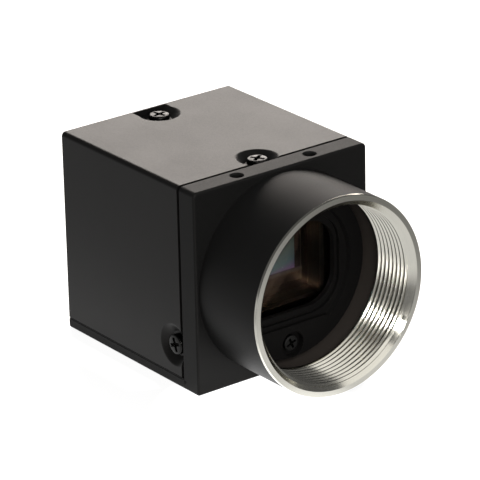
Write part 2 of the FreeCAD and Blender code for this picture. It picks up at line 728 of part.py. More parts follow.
def make_screws():
    """All screws, like ones together."""
    head = "pocket_depth - head_sink"
    length = "pocket_seat + cover_fit + cover_screw_grip"
    seat_top = "body_height - pocket_depth"
    side_seat = "half_width - pocket_depth"
    spots = [((0, "cover_screw_y", seat_top), "+z"), ((0, "rear_screw_y", seat_top), "+z"),
             ((f"-({side_seat})", "cover_screw_y", "side_screw_height"), "-x"),
             ((side_seat, "cover_screw_y", "side_screw_height"), "+x")]
    group("cover_screws", [pan_screw(f"cover_screw_{number}", "head_radius", head, "small_shank_radius",
                                     length, where, along) for number, (where, along) in enumerate(spots)])
    retainer_seat = "retainer_face + counterbore_depth"
    group("retainer_screws", [pan_screw(f"retainer_screw_{number}", "retainer_head_radius",
                                        "retainer_head_height", "retainer_shank_radius",
                                        "retainer_shank_length",
                                        (0, retainer_seat, f"lens_height + {rise}"), "-y", 0.75)
                              for number, rise in enumerate(mirrored("retainer_screw_rise"))])
    board_spots = [(side, "socket_board_rear", f"lens_height + {rise}")
                   for side in mirrored("pillar_side") for rise in mirrored("pillar_rise")]
    group("board_screws", [pan_screw(f"board_screw_{number}", "board_head_radius", "board_head_height",
                                     "stud_radius", "board_screw_length", where, "+y", 0.8)
                           for number, where in enumerate(board_spots)])
    countersunk = []
    for number, side in enumerate(mirrored("foot_screw_spacing / 2")):
        name = f"foot_screw_{number}"
        body = new_body(name, part=False)
        taper(body, name + "_head", (0, 0, 0), "-z", "foot_head_radius", "small_shank_radius",
              "foot_head_height")
        rod(body, name + "_shank", (0, 0, "-foot_head_height"), "-z", "small_shank_radius",
            "foot_screw_length - foot_head_height")
        cross_head(body, name + "_cross", "0", "cross_length", "cross_width", "cross_depth")
        place(body, (side, "rear_screw_y", "foot_head_sink"), "-z")
        countersunk.append(body)
    group("foot_screws", countersunk)


def make_cover():
    """Folded U of top and sides, with tapered pockets for its screws."""
    body = new_body("cover")
    shell = block(body, "cover_outside", ("-half_width", "cover_front", "cover_foot"),
                  ("half_width", "rear_face", "body_height"))
    round_corners(body, shell, "y", "top_edge_radius", {"z": "high"})
    block(body, "cover_inside", ("-half_width + cover_wall", "cover_front", "cover_foot"),
          ("half_width - cover_wall", "rear_face", "body_height - cover_wall"), cut=True)
    hole = "small_shank_radius + small_hole_play"
    spots = {"front": ((0, "cover_screw_y", "body_height"), "-z"),
             "rear": ((0, "rear_screw_y", "body_height"), "-z"),
             "left": (("-half_width", "cover_screw_y", "side_screw_height"), "+x"),
             "right": (("half_width", "cover_screw_y", "side_screw_height"), "-x")}
    for name, (where, along) in spots.items():
        taper(body, name + "_pocket", where, along, "pocket_mouth_radius", "pocket_floor_radius",
              "pocket_depth", cut=True)
        rod(body, name + "_screw_hole", where, along, hole, "cover_wall", cut=True)
    notch = outline(body, "rear_notch_section", "XZ_Plane", "-(rear_screw_y)", [
        ("-pocket_mouth_radius", "body_height"),
        ("-pocket_floor_radius", "body_height - pocket_depth"),
        ("pocket_floor_radius", "body_height - pocket_depth"),
        ("pocket_mouth_radius", "body_height"),
    ])
    doc.recompute()
    notch_cut = body.newObject("PartDesign::Pocket", "rear_notch")
    notch_cut.Profile = notch
    bind(notch_cut, {"Length": "rear_screw_setback"})
    block(body, "rear_web", ("-pocket_mouth_radius", "rear_face - pocket_web", "body_height - cover_wall"),
          ("pocket_mouth_radius", "rear_face", "body_height"))


def make_rear_panel():
    """Tray-shaped panel inside the cover's rear end, with the openings for the sockets."""
    body = new_body("rear_panel")
    block(body, "panel_block", ("-inner_half", "panel_front", "base_thickness"),
          ("inner_half", "panel_rear", "inner_top"))
    block(body, "panel_hollow", ("-inner_half + panel_rim", "panel_front", "base_thickness + panel_rim"),
          ("inner_half - panel_rim", "panel_rear - panel_wall", "inner_top - panel_rim"), cut=True)
    wall_front = "panel_rear - panel_wall"
    rounded_cut(body, "usb_opening",
                ("-usb_width / 2 - usb_panel_play", wall_front, "usb_low - usb_panel_play"),
                ("usb_width / 2 + usb_panel_play", "panel_rear", "usb_high + usb_panel_play"),
                "usb_panel_play * 2")
    for number, side in enumerate(mirrored("lock_hole_spacing / 2")):
        rod(body, f"lock_hole_{number}", (side, wall_front, "usb_height_centre"), "+y", "lock_hole_radius",
            "panel_wall", cut=True)
    rod(body, "io_opening", ("-io_from_centre", wall_front, "io_height"), "+y",
        "io_shell_radius + io_panel_play", "panel_wall", cut=True)
    rod(body, "light_pipe_opening", ("lamp_from_centre", wall_front, "lamp_height"), "+y",
        "light_pipe_radius + light_pipe_fit", "panel_wall", cut=True)
    rod(body, "top_screw_hole", (0, "rear_screw_y", "inner_top"), "-z", "small_hole_radius", "panel_rim",
        cut=True)
    for number, side in enumerate(mirrored("foot_screw_spacing / 2")):
        rod(body, f"panel_foot_hole_{number}", (side, "rear_screw_y", "base_thickness"), "+z",
            "small_hole_radius", "panel_rim", cut=True)


def make_usb_socket():
    """Upright micro-B socket: steel shell, plastic core with two tongues, and its contacts."""
    shell = new_body("usb_shell")
    block(shell, "usb_can", ("-usb_width / 2", "socket_board_rear", "usb_low"),
          ("usb_width / 2", "panel_rear", "usb_high"))
    left = "-usb_width / 2 + usb_wall"
    right = "usb_width / 2 - usb_wall"
    low = "usb_low + usb_wall"
    high = "usb_high - usb_wall"
    rib_low = "usb_width / 2 - usb_wall - usb_rib"
    block(shell, "usb_wide_cavity", (left, "socket_board_rear", low),
          (f"{left} + usb_wide_opening", "panel_rear", high), cut=True)
    block(shell, "usb_narrow_cavity", (f"{left} + usb_wide_opening + usb_wall", "socket_board_rear", low),
          (right, "panel_rear", f"{high} - usb_wall"), cut=True)
    tongue_low = f"{high} - 2 * usb_wall - usb_tongue_thickness"
    cells = {"wide": (left, f"{left} + usb_wide_opening", high),
             "narrow": (f"{left} + usb_wide_opening + usb_wall", right, f"{high} - usb_wall")}
    cores = []
    contacts = []
    for name, (start, end, top) in cells.items():
        core = new_body(f"usb_core_{name}", part=False)
        block(core, f"usb_core_block_{name}", (start, "socket_board_rear", low), (end, "usb_floor", top))
        block(core, f"usb_tongue_{name}", (f"{start} + usb_wall", "usb_floor", tongue_low),
              (f"{end} - usb_wall", "panel_rear - usb_tongue_setback",
               f"{tongue_low} + usb_tongue_thickness"))
        cores.append(core)
        for number in range(5):
            middle = f"(({start}) + ({end})) / 2 + usb_contact_pitch * {number - 2}"
            strip = new_body(f"usb_contact_{name}_{number}", part=False)
            block(strip, f"usb_strip_{name}_{number}",
                  (f"{middle} - usb_contact_width / 2", "usb_floor", f"{tongue_low} - usb_contact_thickness"),
                  (f"{middle} + usb_contact_width / 2", "usb_floor + usb_contact_length", tongue_low))
            contacts.append(strip)
    group("usb_core", cores)
    group("usb_contacts", contacts)


def make_io_socket():
    """Round six-pin socket for the trigger and power lines."""
    side = "-io_from_centre"
    shell = new_body("io_shell")
    rod(shell, "io_tube", (side, "socket_board_rear", "io_height"), "+y", "io_shell_radius",
        "panel_rear + socket_proud + panel_inset - (socket_board_rear)")
    rod(shell, "io_bore", (side, "socket_board_rear", "io_height"), "+y", "io_bore_radius",
        "panel_rear + socket_proud + panel_inset - (socket_board_rear)", cut=True)
    insert = new_body("io_insert")
    rod(insert, "io_disc", (side, "socket_board_rear", "io_height"), "+y", "io_bore_radius - io_insert_fit",
        "io_insert_depth")
    pins = []
    for number in range(6):
        pin = new_body(f"io_pin_{number}", part=False)
        rod(pin, f"io_pin_rod_{number}",
            (f"{side} + io_pin_circle / 2 * cos({60 * number} deg)", "io_insert_face",
             f"io_height + io_pin_circle / 2 * sin({60 * number} deg)"),
            "+y", "io_pin_radius", "io_pin_length")
        pins.append(pin)
    group("io_pins", pins)


def make_status_lamp():
    """Status lamp on the socket board and the clear pipe that takes its light to the panel."""
    chip("status_lamp", "lamp_from_centre", "lamp_above_axis", "lamp_size / 2", "lamp_size / 2",
         "socket_board_rear", "lamp_thickness", behind=True)
    pipe = new_body("light_pipe")
    rod(pipe, "light_pipe_rod", ("lamp_from_centre", "lamp_face", "lamp_height"), "+y", "light_pipe_radius",
        "panel_rear - (lamp_face)")


def check_and_write():
    """Stop on any failed object, then write each sub-part to its own file."""
    doc.recompute()
    for thing in doc.Objects:
        if "Invalid" in thing.State or "Error" in thing.State:
            raise RuntimeError(f"{thing.Label} failed: {thing.State}")
    os.makedirs("parts", exist_ok=True)
    for thing in sub_parts:
        shape = thing.Shape
        if shape.isNull() or not shape.isValid():
            raise RuntimeError(f"{thing.Label} has no valid shape")
        shape.exportStep(f"parts/{thing.Label}.step")
        print(f"{thing.Label}: {len(shape.Solids)} solids, {shape.Volume:.2f} mm3")


make_chassis()
make_lens_mount_ring()
make_filter_retainer()
make_sensor()
make_electronics()
make_screws()
make_cover()
make_rear_panel()
make_usb_socket()
make_io_socket()
make_status_lamp()
check_and_write()
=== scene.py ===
"""Machine vision camera: visible pieces, finishes and studio, built around the fixed frame."""

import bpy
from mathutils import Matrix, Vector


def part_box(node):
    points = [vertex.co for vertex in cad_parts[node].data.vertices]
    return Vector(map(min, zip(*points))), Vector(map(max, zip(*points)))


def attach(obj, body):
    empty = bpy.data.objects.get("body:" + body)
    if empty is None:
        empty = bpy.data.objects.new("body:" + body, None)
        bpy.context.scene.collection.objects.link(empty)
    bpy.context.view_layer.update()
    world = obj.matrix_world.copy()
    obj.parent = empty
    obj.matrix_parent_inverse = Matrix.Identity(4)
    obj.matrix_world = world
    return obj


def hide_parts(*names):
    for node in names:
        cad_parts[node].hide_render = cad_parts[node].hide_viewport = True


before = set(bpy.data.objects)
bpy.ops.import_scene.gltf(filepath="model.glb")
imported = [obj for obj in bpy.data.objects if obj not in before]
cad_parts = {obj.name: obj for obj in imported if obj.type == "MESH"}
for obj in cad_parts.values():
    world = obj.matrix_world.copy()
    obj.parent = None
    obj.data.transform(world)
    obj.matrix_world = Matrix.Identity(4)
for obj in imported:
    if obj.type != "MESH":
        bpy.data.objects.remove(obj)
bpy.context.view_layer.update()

import math

import bmesh
import bpy
from bpy.props import FloatProperty, FloatVectorProperty, IntProperty, PointerProperty
from bpy.types import Operator, Panel, PropertyGroup
from mathutils import Matrix, Vector

bl_info = {
    "name": "Machine Vision Camera",
    "version": (1, 0, 0),
    "blender": (4, 5, 0),
    "location": "View3D > Sidebar > Vision Camera",
    "description": "Builds a cube-shaped machine vision camera around its fixed frame",
    "category": "Object",
}

MM = 0.001
X, Y, Z = Vector((1, 0, 0)), Vector((0, 1, 0)), Vector((0, 0, 1))
BOX = {name: [Vector(corner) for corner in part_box(name)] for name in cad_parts}


def low(node):
    """Lowest corner of a frame node."""
    return BOX[node][0]


def high(node):
    """Highest corner of a frame node."""
    return BOX[node][1]


def middle(node):
    """Centre of a frame node's box."""
    return (low(node) + high(node)) / 2


def half(node):
    """Half the size of a frame node's box."""
    return (high(node) - low(node)) / 2


# height of the lens axis, and where the main faces lie along Y
LENS = middle("lens_mount_ring").z
FRONT = low("filter_gasket").y
RING_FACE = low("lens_mount_ring").y
RING_REAR = high("lens_mount_ring").y
REAR = high("cover").y

# sizes and places that a piece shares with the hole or the screw in it
BORE_RADIUS = 12.77 * MM
SEAT_RADIUS = 13.32 * MM
SLEEVE_RADIUS = 13.3 * MM
FILTER_CORNER = 2.0 * MM
SCREW_FRONT = FRONT + 5.2 * MM
SCREW_INSET = 2.7 * MM
SCREW_REAR = REAR - SCREW_INSET
SIDE_SCREW_HEIGHT = 5.8 * MM
FOOT_SCREW_SIDE = 5.0 * MM

# how far joined shapes and cutters reach past a face, and how near a face its edges are looked for
OVER = 1.0 * MM
NEAR = 1.0 * MM
TINY = 0.01 * MM

# width of the photographer's film in millimetres, and the photo's width and lens in pixels
FILM_WIDTH = 36
PHOTO_WIDTH = 480
PHOTO_LENS = 3491


def length(name, default, description, least=0.0):
    """Length property in metres."""
    return FloatProperty(name=name, description=description, default=default, min=least, unit="LENGTH",
                         precision=5)


def colour(name, default, description):
    """Colour property."""
    return FloatVectorProperty(name=name, description=description, default=default, size=3, min=0.0, max=1.0,
                               subtype="COLOR")


def number(name, default, description, least=0.0, **limits):
    """Plain number property."""
    return FloatProperty(name=name, description=description, default=default, min=least, **limits)


def angle(name, degrees, description):
    """Angle property, given in degrees."""
    return FloatProperty(name=name, description=description, default=math.radians(degrees), subtype="ANGLE")


class CameraSizes(PropertyGroup):
    """Sizes of the visible pieces that a user would change."""
    front_depth: length("Front Block Depth", 3.4 * MM, "Depth of the front block")
    ledge_height: length("Ledge Height", 1.3 * MM, "Height of the base strip under the side")
    front_edge: length("Front Rim Radius", 0.35 * MM, "Rounding around the front block's face")
    top_edge: length("Top Edge Radius", 0.66 * MM, "Rounding of the long upper edges")
    foot_edge: length("Foot Edge Radius", 0.35 * MM, "Rounding of the long lower edges")
    edge_break: length("Edge Break", 0.07 * MM, "Fine bevel on machined edges")
    sheet: length("Cover Sheet", 1.3 * MM, "Thickness of the cover's walls")
    thread_pitch: length("Thread Pitch", 25.4 / 32 * MM, "Pitch of the lens thread")
    thread_crest: length("Thread Crest Radius", 12.27 * MM, "Inner radius of the lens thread")
    thread_root: length("Thread Root Radius", 12.64 * MM, "Outer radius of the lens thread's groove")
    mouth_chamfer: length("Mouth Chamfer", 0.9 * MM, "Chamfer at the mouth of the lens thread")
    pocket_mouth: length("Pocket Mouth Radius", 2.85 * MM, "Radius of a screw pocket at the surface")
    pocket_floor: length("Pocket Floor Radius", 1.75 * MM, "Radius of a screw pocket at its floor")
    pocket_depth: length("Pocket Depth", 0.95 * MM, "Depth of a screw pocket")
    pocket_web: length("Pocket Web", 0.2 * MM, "Thin wall left behind the rear pocket")
    round_steps: IntProperty(name="Round Steps", description="Sides of a full circle", default=128, min=24,
                             max=256)


class CameraColours(PropertyGroup):
    """Colours of the finishes."""
    frame_black: colour("Frame Black", (0.009, 0.009, 0.009), "Anodised front block, tube and base")
    cover_black: colour("Cover Black", (0.008, 0.0077, 0.0076), "Anodised cover")
    bore_black: colour("Bore Black", (0.008, 0.0077, 0.0077), "Matt black inside the lens bore")
    steel: colour("Ring Steel", (0.70, 0.685, 0.62), "Turned steel of the lens mount ring")
    screw: colour("Screw Black", (0.024, 0.0235, 0.023), "Black plated screws")
    coating: colour("Filter Coating", (1.0, 0.52, 0.26), "Colour that the filter's coating reflects")


class StudioSettings(PropertyGroup):
    """Lamps, floor and photographer's camera."""
    azimuth: angle("Azimuth", -36.891, "Camera's turn from straight in front")
    elevation: angle("Elevation", 22.428, "Camera's height above the horizon")
    roll: angle("Roll", -1.269, "Camera's turn about its own axis")
    distance: length("Distance", 466.2 * MM, "Camera's distance from its target plane")
    pan_right: length("Pan Right", -5.66 * MM, "Camera's shift to its right", least=-1.0)
    pan_up: length("Pan Up", 4.021 * MM, "Camera's shift up", least=-1.0)
    focal: number("Focal Length", PHOTO_LENS / PHOTO_WIDTH * FILM_WIDTH,
                  "Lens of the photographer's camera, in millimetres", least=10.0)
    floor_tone: number("Floor Tone", 0.2, "Brightness of the floor under the lamps", max=1.0,
                       subtype="FACTOR")
    overhead: number("Overhead Lamp", 1.0, "Brightness of the overhead softbox")
    back_box: number("Rear Softbox", 5.0, "Brightness of the softbox behind the object")
    front_lamp: number("Front Lamp", 110.0, "Brightness of the narrow lamp beside the camera")


# meshes


def move(vector):
    """Matrix that moves by a vector."""
    return Matrix.Translation(vector)


def axis_turn(axis):
    """Matrix that turns +Z onto an axis."""
    return Z.rotation_difference(axis).to_matrix().to_4x4()


def add_box(bm, start, end):
    """Box between two corners."""
    start, end = Vector(start), Vector(end)
    size = Matrix.Diagonal((*(end - start), 1))
    bmesh.ops.create_cube(bm, size=1, matrix=move((start + end) / 2) @ size)


def add_cone(bm, start, axis, first, last, depth, steps):
    """Closed cone or cylinder from a start point along an axis."""
    axis = Vector(axis)
    matrix = move(Vector(start) + axis * depth / 2) @ axis_turn(axis)
    bmesh.ops.create_cone(bm, cap_ends=True, segments=steps, radius1=first, radius2=last, depth=depth,
                          matrix=matrix)


def add_lathe(bm, profile, centre, axis, steps):
    """Closed profile of (radius, height along the axis) points turned about the axis."""
    axis = Vector(axis)
    across = axis.orthogonal().normalized()
    verts = [bm.verts.new(Vector(centre) + across * radius + axis * rise) for radius, rise in profile]
    edges = [bm.edges.new(pair) for pair in zip(verts, verts[1:] + verts[:1])]
    bmesh.ops.spin(bm, geom=verts + edges, cent=centre, axis=axis, angle=2 * math.pi, steps=steps,
                   use_merge=True, use_duplicate=False)
    bmesh.ops.remove_doubles(bm, verts=bm.verts, dist=1e-7)
    bmesh.ops.recalc_face_normals(bm, faces=bm.faces)


def add_hole(bm, spot, inward, radius, mouth, depth):
    """Blind hole along Z with a chamfered mouth and a drilled tip; inward is 1 for up and -1 for down."""
    over, tip = 0.1 * MM, 0.3 * MM
    profile = [(0, -over), (mouth, -over), (radius, mouth - radius - over), (radius, depth), (0, depth + tip)]
    add_lathe(bm, [(across, inward * rise) for across, rise in profile], spot, Z, 40)


def soften(bm, edges, width, segments):
    """Round some edges of a mesh."""
    if edges and width > 0:
        bmesh.ops.bevel(bm, geom=edges, offset=width, offset_type="OFFSET", affect="EDGES", segments=segments,
                        profile=0.5, material=-1, clamp_overlap=True)


def edges_where(bm, test):
    """Edges whose two ends pass a test."""
    return [edge for edge in bm.edges if test(edge.verts[0].co) and test(edge.verts[1].co)]


def long_edges(bm, test):
    """Edges along Y whose two ends pass a test."""
    return [edge for edge in edges_where(bm, test)
            if abs((edge.verts[0].co - edge.verts[1].co).normalized().y) > 0.99]


def box_shape(start, end):
    """Function that fills a mesh with a box between two corners."""
    return lambda bm: add_box(bm, start, end)


def round_shape(near, far, radius):
    """Function that fills a mesh with a cylinder about the lens axis."""
    return lambda bm: add_cone(bm, (0, near, LENS), Y, radius, radius, far - near, sizes().round_steps)


def plate_shape(centre, half_width, half_height, near, far, corner, steps=8):
    """Function that fills a mesh with a plate square to Y that has rounded corners."""
    def build(bm):
        add_box(bm, (centre.x - half_width, near, centre.z - half_height),
                (centre.x + half_width, far, centre.z + half_height))
        soften(bm, long_edges(bm, lambda point: True), corner, steps)

    return build


def mesh_object(name, bm):
    """Put a mesh in the scene as an object at the origin."""
    bmesh.ops.recalc_face_normals(bm, faces=bm.faces)
    mesh = bpy.data.meshes.new(name)
    bm.to_mesh(mesh)
    bm.free()
    thing = bpy.data.objects.new(name, mesh)
    bpy.context.scene.collection.objects.link(thing)
    return thing


def shaped(name, build):
    """Object from a function that fills a mesh."""
    bm = bmesh.new()
    build(bm)
    return mesh_object(name, bm)


def merge(name, things):
    """One object from several, for like pieces that share a node."""
    bm = bmesh.new()
    for thing in things:
        bm.from_mesh(thing.data)
        bpy.data.objects.remove(thing)
    return mesh_object(name, bm)


def combine(base, tool, operation):
    """Join a tool to the base or cut it out, and delete the tool."""
    modifier = base.modifiers.new(operation, "BOOLEAN")
    modifier.operation = operation
    modifier.solver = "EXACT"
    modifier.use_self = False
    modifier.object = tool
    apply_modifiers(base)
    bpy.data.objects.remove(tool)


def apply_modifiers(thing):
    """Bake an object's modifiers into its mesh."""
    bpy.context.view_layer.update()
    evaluated = thing.evaluated_get(bpy.context.evaluated_depsgraph_get())
    mesh = bpy.data.meshes.new_from_object(evaluated)
    old = thing.data
    thing.modifiers.clear()
    thing.data = mesh
    mesh.name = thing.name
    bpy.data.meshes.remove(old)


def join(base, name, build):
    """Add a shape to the base."""
    combine(base, shaped(name, build), "UNION")


def carve(base, name, build):
    """Cut a shape out of the base."""
    combine(base, shaped(name, build), "DIFFERENCE")


def sort_mesh(mesh):
    """Put points and faces in a fixed order, because booleans leave them in another one each time."""
    order = sorted(range(len(mesh.vertices)), key=lambda index: mesh.vertices[index].co[:])
    points = [mesh.vertices[index].co[:] for index in order]
    rank = {index: place for place, index in enumerate(order)}
    faces = []
    for polygon in mesh.polygons:
        corners = [rank[index] for index in polygon.vertices]
        first = corners.index(min(corners))
        faces.append(corners[first:] + corners[:first])
    mesh.clear_geometry()
    mesh.from_pydata(points, [], sorted(faces))


def fine_edges(thing, width):
    """Live bevel on every sharp edge."""
    sort_mesh(thing.data)
    modifier = thing.modifiers.new("Fine edges", "BEVEL")
    modifier.limit_method = "ANGLE"
    modifier.angle_limit = math.radians(25)
    modifier.width = width
    modifier.segments = 2
    modifier.profile = 0.5
    modifier.use_clamp_overlap = True
    modifier.miter_outer = "MITER_ARC"
    flat = thing.modifiers.new("Flat faces", "WEIGHTED_NORMAL")
    flat.keep_sharp = True


def finish_piece(thing, material, slot, *nodes, sharp=35):
    """Shade a piece smooth below an angle, give it its material, and let it stand for frame nodes."""
    thing.data.shade_smooth()
    thing.data.set_sharp_from_angle(angle=math.radians(sharp))
    thing.data.materials.clear()
    thing.data.materials.append(material)
    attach(thing, "root")
    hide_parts(*nodes)


def dress(material, *nodes):
    """Give a material to frame nodes that keep their own shape."""
    for node in nodes:
        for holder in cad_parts[node].material_slots:
            holder.material = material


# materials

FINE_GRAIN = 6500
RELIEF = 0.02 * MM
# black that paints the shade deep in a screw's recess
PAINTED_SHADE_BLACK = (0.0005, 0.0005, 0.0005)
WARM_SHEEN = (1.0, 0.97, 0.94)

# colours across the sensor's pixel field, and outwards over its border
FIELD_TINTS = ((0.0, (0.40, 0.24, 0.48)), (0.16, (0.22, 0.36, 0.40)), (0.45, (0.25, 0.36, 0.33)),
               (0.65, (0.12, 0.22, 0.15)), (1.0, (0.12, 0.04, 0.035)))
BORDER_TINTS = ((0.0, (0.04, 0.015, 0.02)), (0.03, (0.24, 0.16, 0.26)), (0.16, (0.3, 0.24, 0.2)),
                (0.4, (0.1, 0.06, 0.045)), (1.0, (0.03, 0.02, 0.015)))


def shaded(tone, factor):
    """A colour made lighter or darker."""
    return tuple(min(1.0, channel * factor) for channel in tone)


def opaque(value):
    """A colour with its fourth channel; anything else stays as it is."""
    return (*value, 1.0) if isinstance(value, tuple) else value


class Tree:
    """Small helper that grows a node tree."""

    def __init__(self, owner):
        owner.use_nodes = True
        self.nodes = owner.node_tree.nodes
        self.links = owner.node_tree.links

    def node(self, kind, inputs=None, **settings):
        """New node with its settings, values and links."""
        made = self.nodes.new("ShaderNode" + kind)
        for key, value in settings.items():
            setattr(made, key, value)
        for key, value in (inputs or {}).items():
            if isinstance(value, bpy.types.NodeSocket):
                self.links.new(value, made.inputs[key])
            else:
                made.inputs[key].default_value = value
        return made

    def place(self, centre=(0, 0, 0), scale=(1, 1, 1), rotation=(0, 0, 0)):
        """Object coordinates, centred, scaled and turned."""
        offset = tuple(-along * factor for along, factor in zip(centre, scale))
        return self.node("Mapping", {"Vector": self.node("TexCoord").outputs["Object"], "Location": offset,
                                     "Scale": scale, "Rotation": rotation}).outputs[0]

    def split(self, vector):
        """The three parts of a vector."""
        return self.node("SeparateXYZ", {"Vector": vector}).outputs

    def noise(self, vector, scale, detail, roughness):
        """Noise pattern."""
        return self.node("TexNoise", {"Vector": vector, "Scale": scale, "Detail": detail,
                                      "Roughness": roughness}).outputs[0]

    def bricks(self, vector, second, mortar, scale, joint):
        """Brick pattern of white, a second grey and the mortar's grey."""
        return self.node("TexBrick", {"Vector": vector, "Color1": (1, 1, 1, 1), "Color2": (*[second] * 3, 1),
                                      "Mortar": (*[mortar] * 3, 1), "Scale": scale,
                                      "Mortar Size": joint}).outputs["Color"]

    def ramp(self, factor, stops):
        """Colour ramp from (position, colour or grey) stops."""
        made = self.node("ValToRGB", {"Fac": factor})
        elements = made.color_ramp.elements
        while len(elements) < len(stops):
            elements.new(0.5)
        for element, (position, tone) in zip(elements, stops):
            element.position = position
            element.color = (*tone, 1) if isinstance(tone, tuple) else (tone, tone, tone, 1)
        return made.outputs["Color"]

    def math(self, operation, *values):
        """Maths on one, two or three values."""
        return self.node("Math", dict(enumerate(values)), operation=operation).outputs[0]

    def span(self, value, start, end, least=0.0, most=1.0, **settings):
        """Map a range onto another."""
        return self.node("MapRange", {"Value": value, "From Min": start, "From Max": end, "To Min": least,
                                      "To Max": most}, **settings).outputs[0]

    def mix(self, factor, first, second):
        """Blend of two colours."""
        return self.node("Mix", {0: factor, 6: opaque(first), 7: opaque(second)}, data_type="RGBA").outputs[2]

    def rays(self):
        """One for camera rays, and one for all rays that show things: camera, glossy and through glass."""
        path = self.node("LightPath").outputs
        camera, glossy, through = (path[f"Is {kind} Ray"] for kind in ("Camera", "Glossy", "Transmission"))
        return camera, self.math("MAXIMUM", camera, self.math("MAXIMUM", glossy, through))


class Shader(Tree):
    """Material with its node tree and surface."""

    def __init__(self, name, **settings):
        self.material = bpy.data.materials.new(name)
        super().__init__(self.material)
        self.surface = self.nodes["Principled BSDF"]
        for key, value in settings.items():
            socket = key.replace("_", " ").title().replace("Ior", "IOR")
            self.surface.inputs[socket].default_value = opaque(value)

    def wire(self, socket, value):
        """Link a value to the surface."""
        self.links.new(value, self.surface.inputs[socket])

    def bump(self, height, strength, distance=RELIEF):
        """Relief on the surface."""
        made = self.node("Bump", {"Height": height, "Strength": strength, "Distance": distance})
        self.wire("Normal", made.outputs[0])

    def shades(self, pattern, tone, darker, lighter):
        """A colour that a pattern varies."""
        return self.mix(pattern, shaded(tone, darker), shaded(tone, lighter))

    def lens_radius(self, parts):
        """Distance from the lens axis, from the parts of a place that is centred on it."""
        squares = (self.math("POWER", parts[index], 2.0) for index in (0, 2))
        return self.math("SQRT", self.math("ADD", *squares))

    def coat(self, shade, pattern, roughness, smoother, rougher, relief):
        """Give the surface its colour, and vary its roughness and height by a pattern."""
        self.wire("Base Color", shade)
        self.wire("Roughness", self.span(pattern, 0.3, 0.7, roughness - smoother, roughness + rougher))
        self.bump(pattern, relief)
        return self.material


def anodised(name, tone, roughness, ior, grain=0.12, bore=None):
    """Blasted and anodised aluminium: fine grain, warm sheen, and a paler lens bore where one is given; the
    paler bore is painted light, for the light that the steel thread throws into it.
    """
    shader = Shader(name, base_color=tone, roughness=roughness, ior=ior, specular_tint=WARM_SHEEN)
    where = shader.place()
    specks = shader.noise(where, FINE_GRAIN, 2, 0.7)
    clouds = shader.noise(where, 150, 2, 0.5)
    shade = shader.shades(specks, tone, 0.6, 1.4)
    # painted light: the bore colour makes the lens bore paler, where light from the steel thread falls in it
    if bore:
        parts = shader.split(shader.place((0, 0, LENS)))
        within = shader.math("LESS_THAN", shader.lens_radius(parts), 13.1 * MM)
        before = shader.math("LESS_THAN", parts[1], FRONT + TINY)
        shade = shader.mix(shader.math("MULTIPLY", within, before), shade, bore)
    shader.wire("Base Color", shade)
    wear = shader.math("ADD", shader.math("MULTIPLY", specks, 0.8), shader.math("MULTIPLY", clouds, 0.2))
    shader.wire("Roughness", shader.span(wear, 0.35, 0.65, roughness - 0.05, roughness + 0.05))
    shader.bump(specks, grain)
    return shader.material


def turned_steel(name, tone):
    """Steel turned about the lens axis, with fine circular tool marks."""
    roughness = 0.16
    fine, coarse = 14000.0, 60.0
    shader = Shader(name, base_color=tone, metallic=1.0, roughness=roughness)
    where = shader.place((0, 0, LENS))
    parts = shader.split(where)
    rings = shader.node("CombineXYZ", {"X": shader.math("MULTIPLY", shader.lens_radius(parts), fine),
                                       "Y": shader.math("MULTIPLY", parts[1], fine),
                                       "Z": shader.math("MULTIPLY", parts[0], coarse)}).outputs[0]
    marks = shader.noise(rings, 1.0, 3, 0.6)
    wear = shader.math("ADD", marks, shader.noise(where, 180, 3, 0.5))
    shader.wire("Base Color", shader.shades(marks, tone, 0.86, 1.08))
    shader.wire("Roughness", shader.span(wear, 0.6, 1.4, roughness - 0.07, roughness + 0.1))
    shader.bump(marks, 0.04)
    return shader.material


def plated(name, tone):
    """Plated screw metal with light handling marks."""
    roughness = 0.28
    shader = Shader(name, base_color=tone, metallic=1.0, roughness=roughness)
    marks = shader.noise(shader.place(), 5200, 3, 0.6)
    return shader.coat(shader.shades(marks, tone, 0.6, 1.3), marks, roughness, 0.08, 0.12, 0.15)


def moulded(name, tone, roughness, ior=1.5, painted_shade_depth=None):
    """Moulded plastic, resin, rubber, ceramic or black oxide with a fine skin, painted black as shade behind
    a given depth.
    """
    shader = Shader(name, base_color=tone, roughness=roughness, ior=ior)
    where = shader.place()
    skin = shader.noise(where, FINE_GRAIN, 3, 0.6)
    shade = shader.shades(skin, tone, 0.8, 1.2)
    # painted shade: the surface turns black behind the given depth along Y, as in the shade of a recess
    if painted_shade_depth:
        shade = shader.mix(shader.span(shader.split(where)[1], painted_shade_depth, painted_shade_depth + 0.1 * MM), shade, PAINTED_SHADE_BLACK)
    return shader.coat(shade, skin, roughness, 0.1, 0.1, 0.15)


def brushed(name, tone, roughness):
    """Drawn or plated metal with fine lines."""
    shader = Shader(name, base_color=tone, metallic=1.0, roughness=roughness)
    lines = shader.noise(shader.place(scale=(1, 0.05, 1)), 9000, 3, 0.6)
    return shader.coat(shader.shades(lines, tone, 0.8, 1.12), lines, roughness, 0.08, 0.1, 0.12)


def clear_glass(name, tone, coating=(1.0, 1.0, 1.0), ior=1.5, roughness=0.0):
    """Glass with the faintest unevenness."""
    shader = Shader(name, base_color=tone, roughness=roughness, ior=ior, transmission_weight=1.0,
                    specular_tint=coating)
    shader.bump(shader.noise(shader.place(), 400, 2, 0.5), 0.02, RELIEF / 2)
    return shader.material


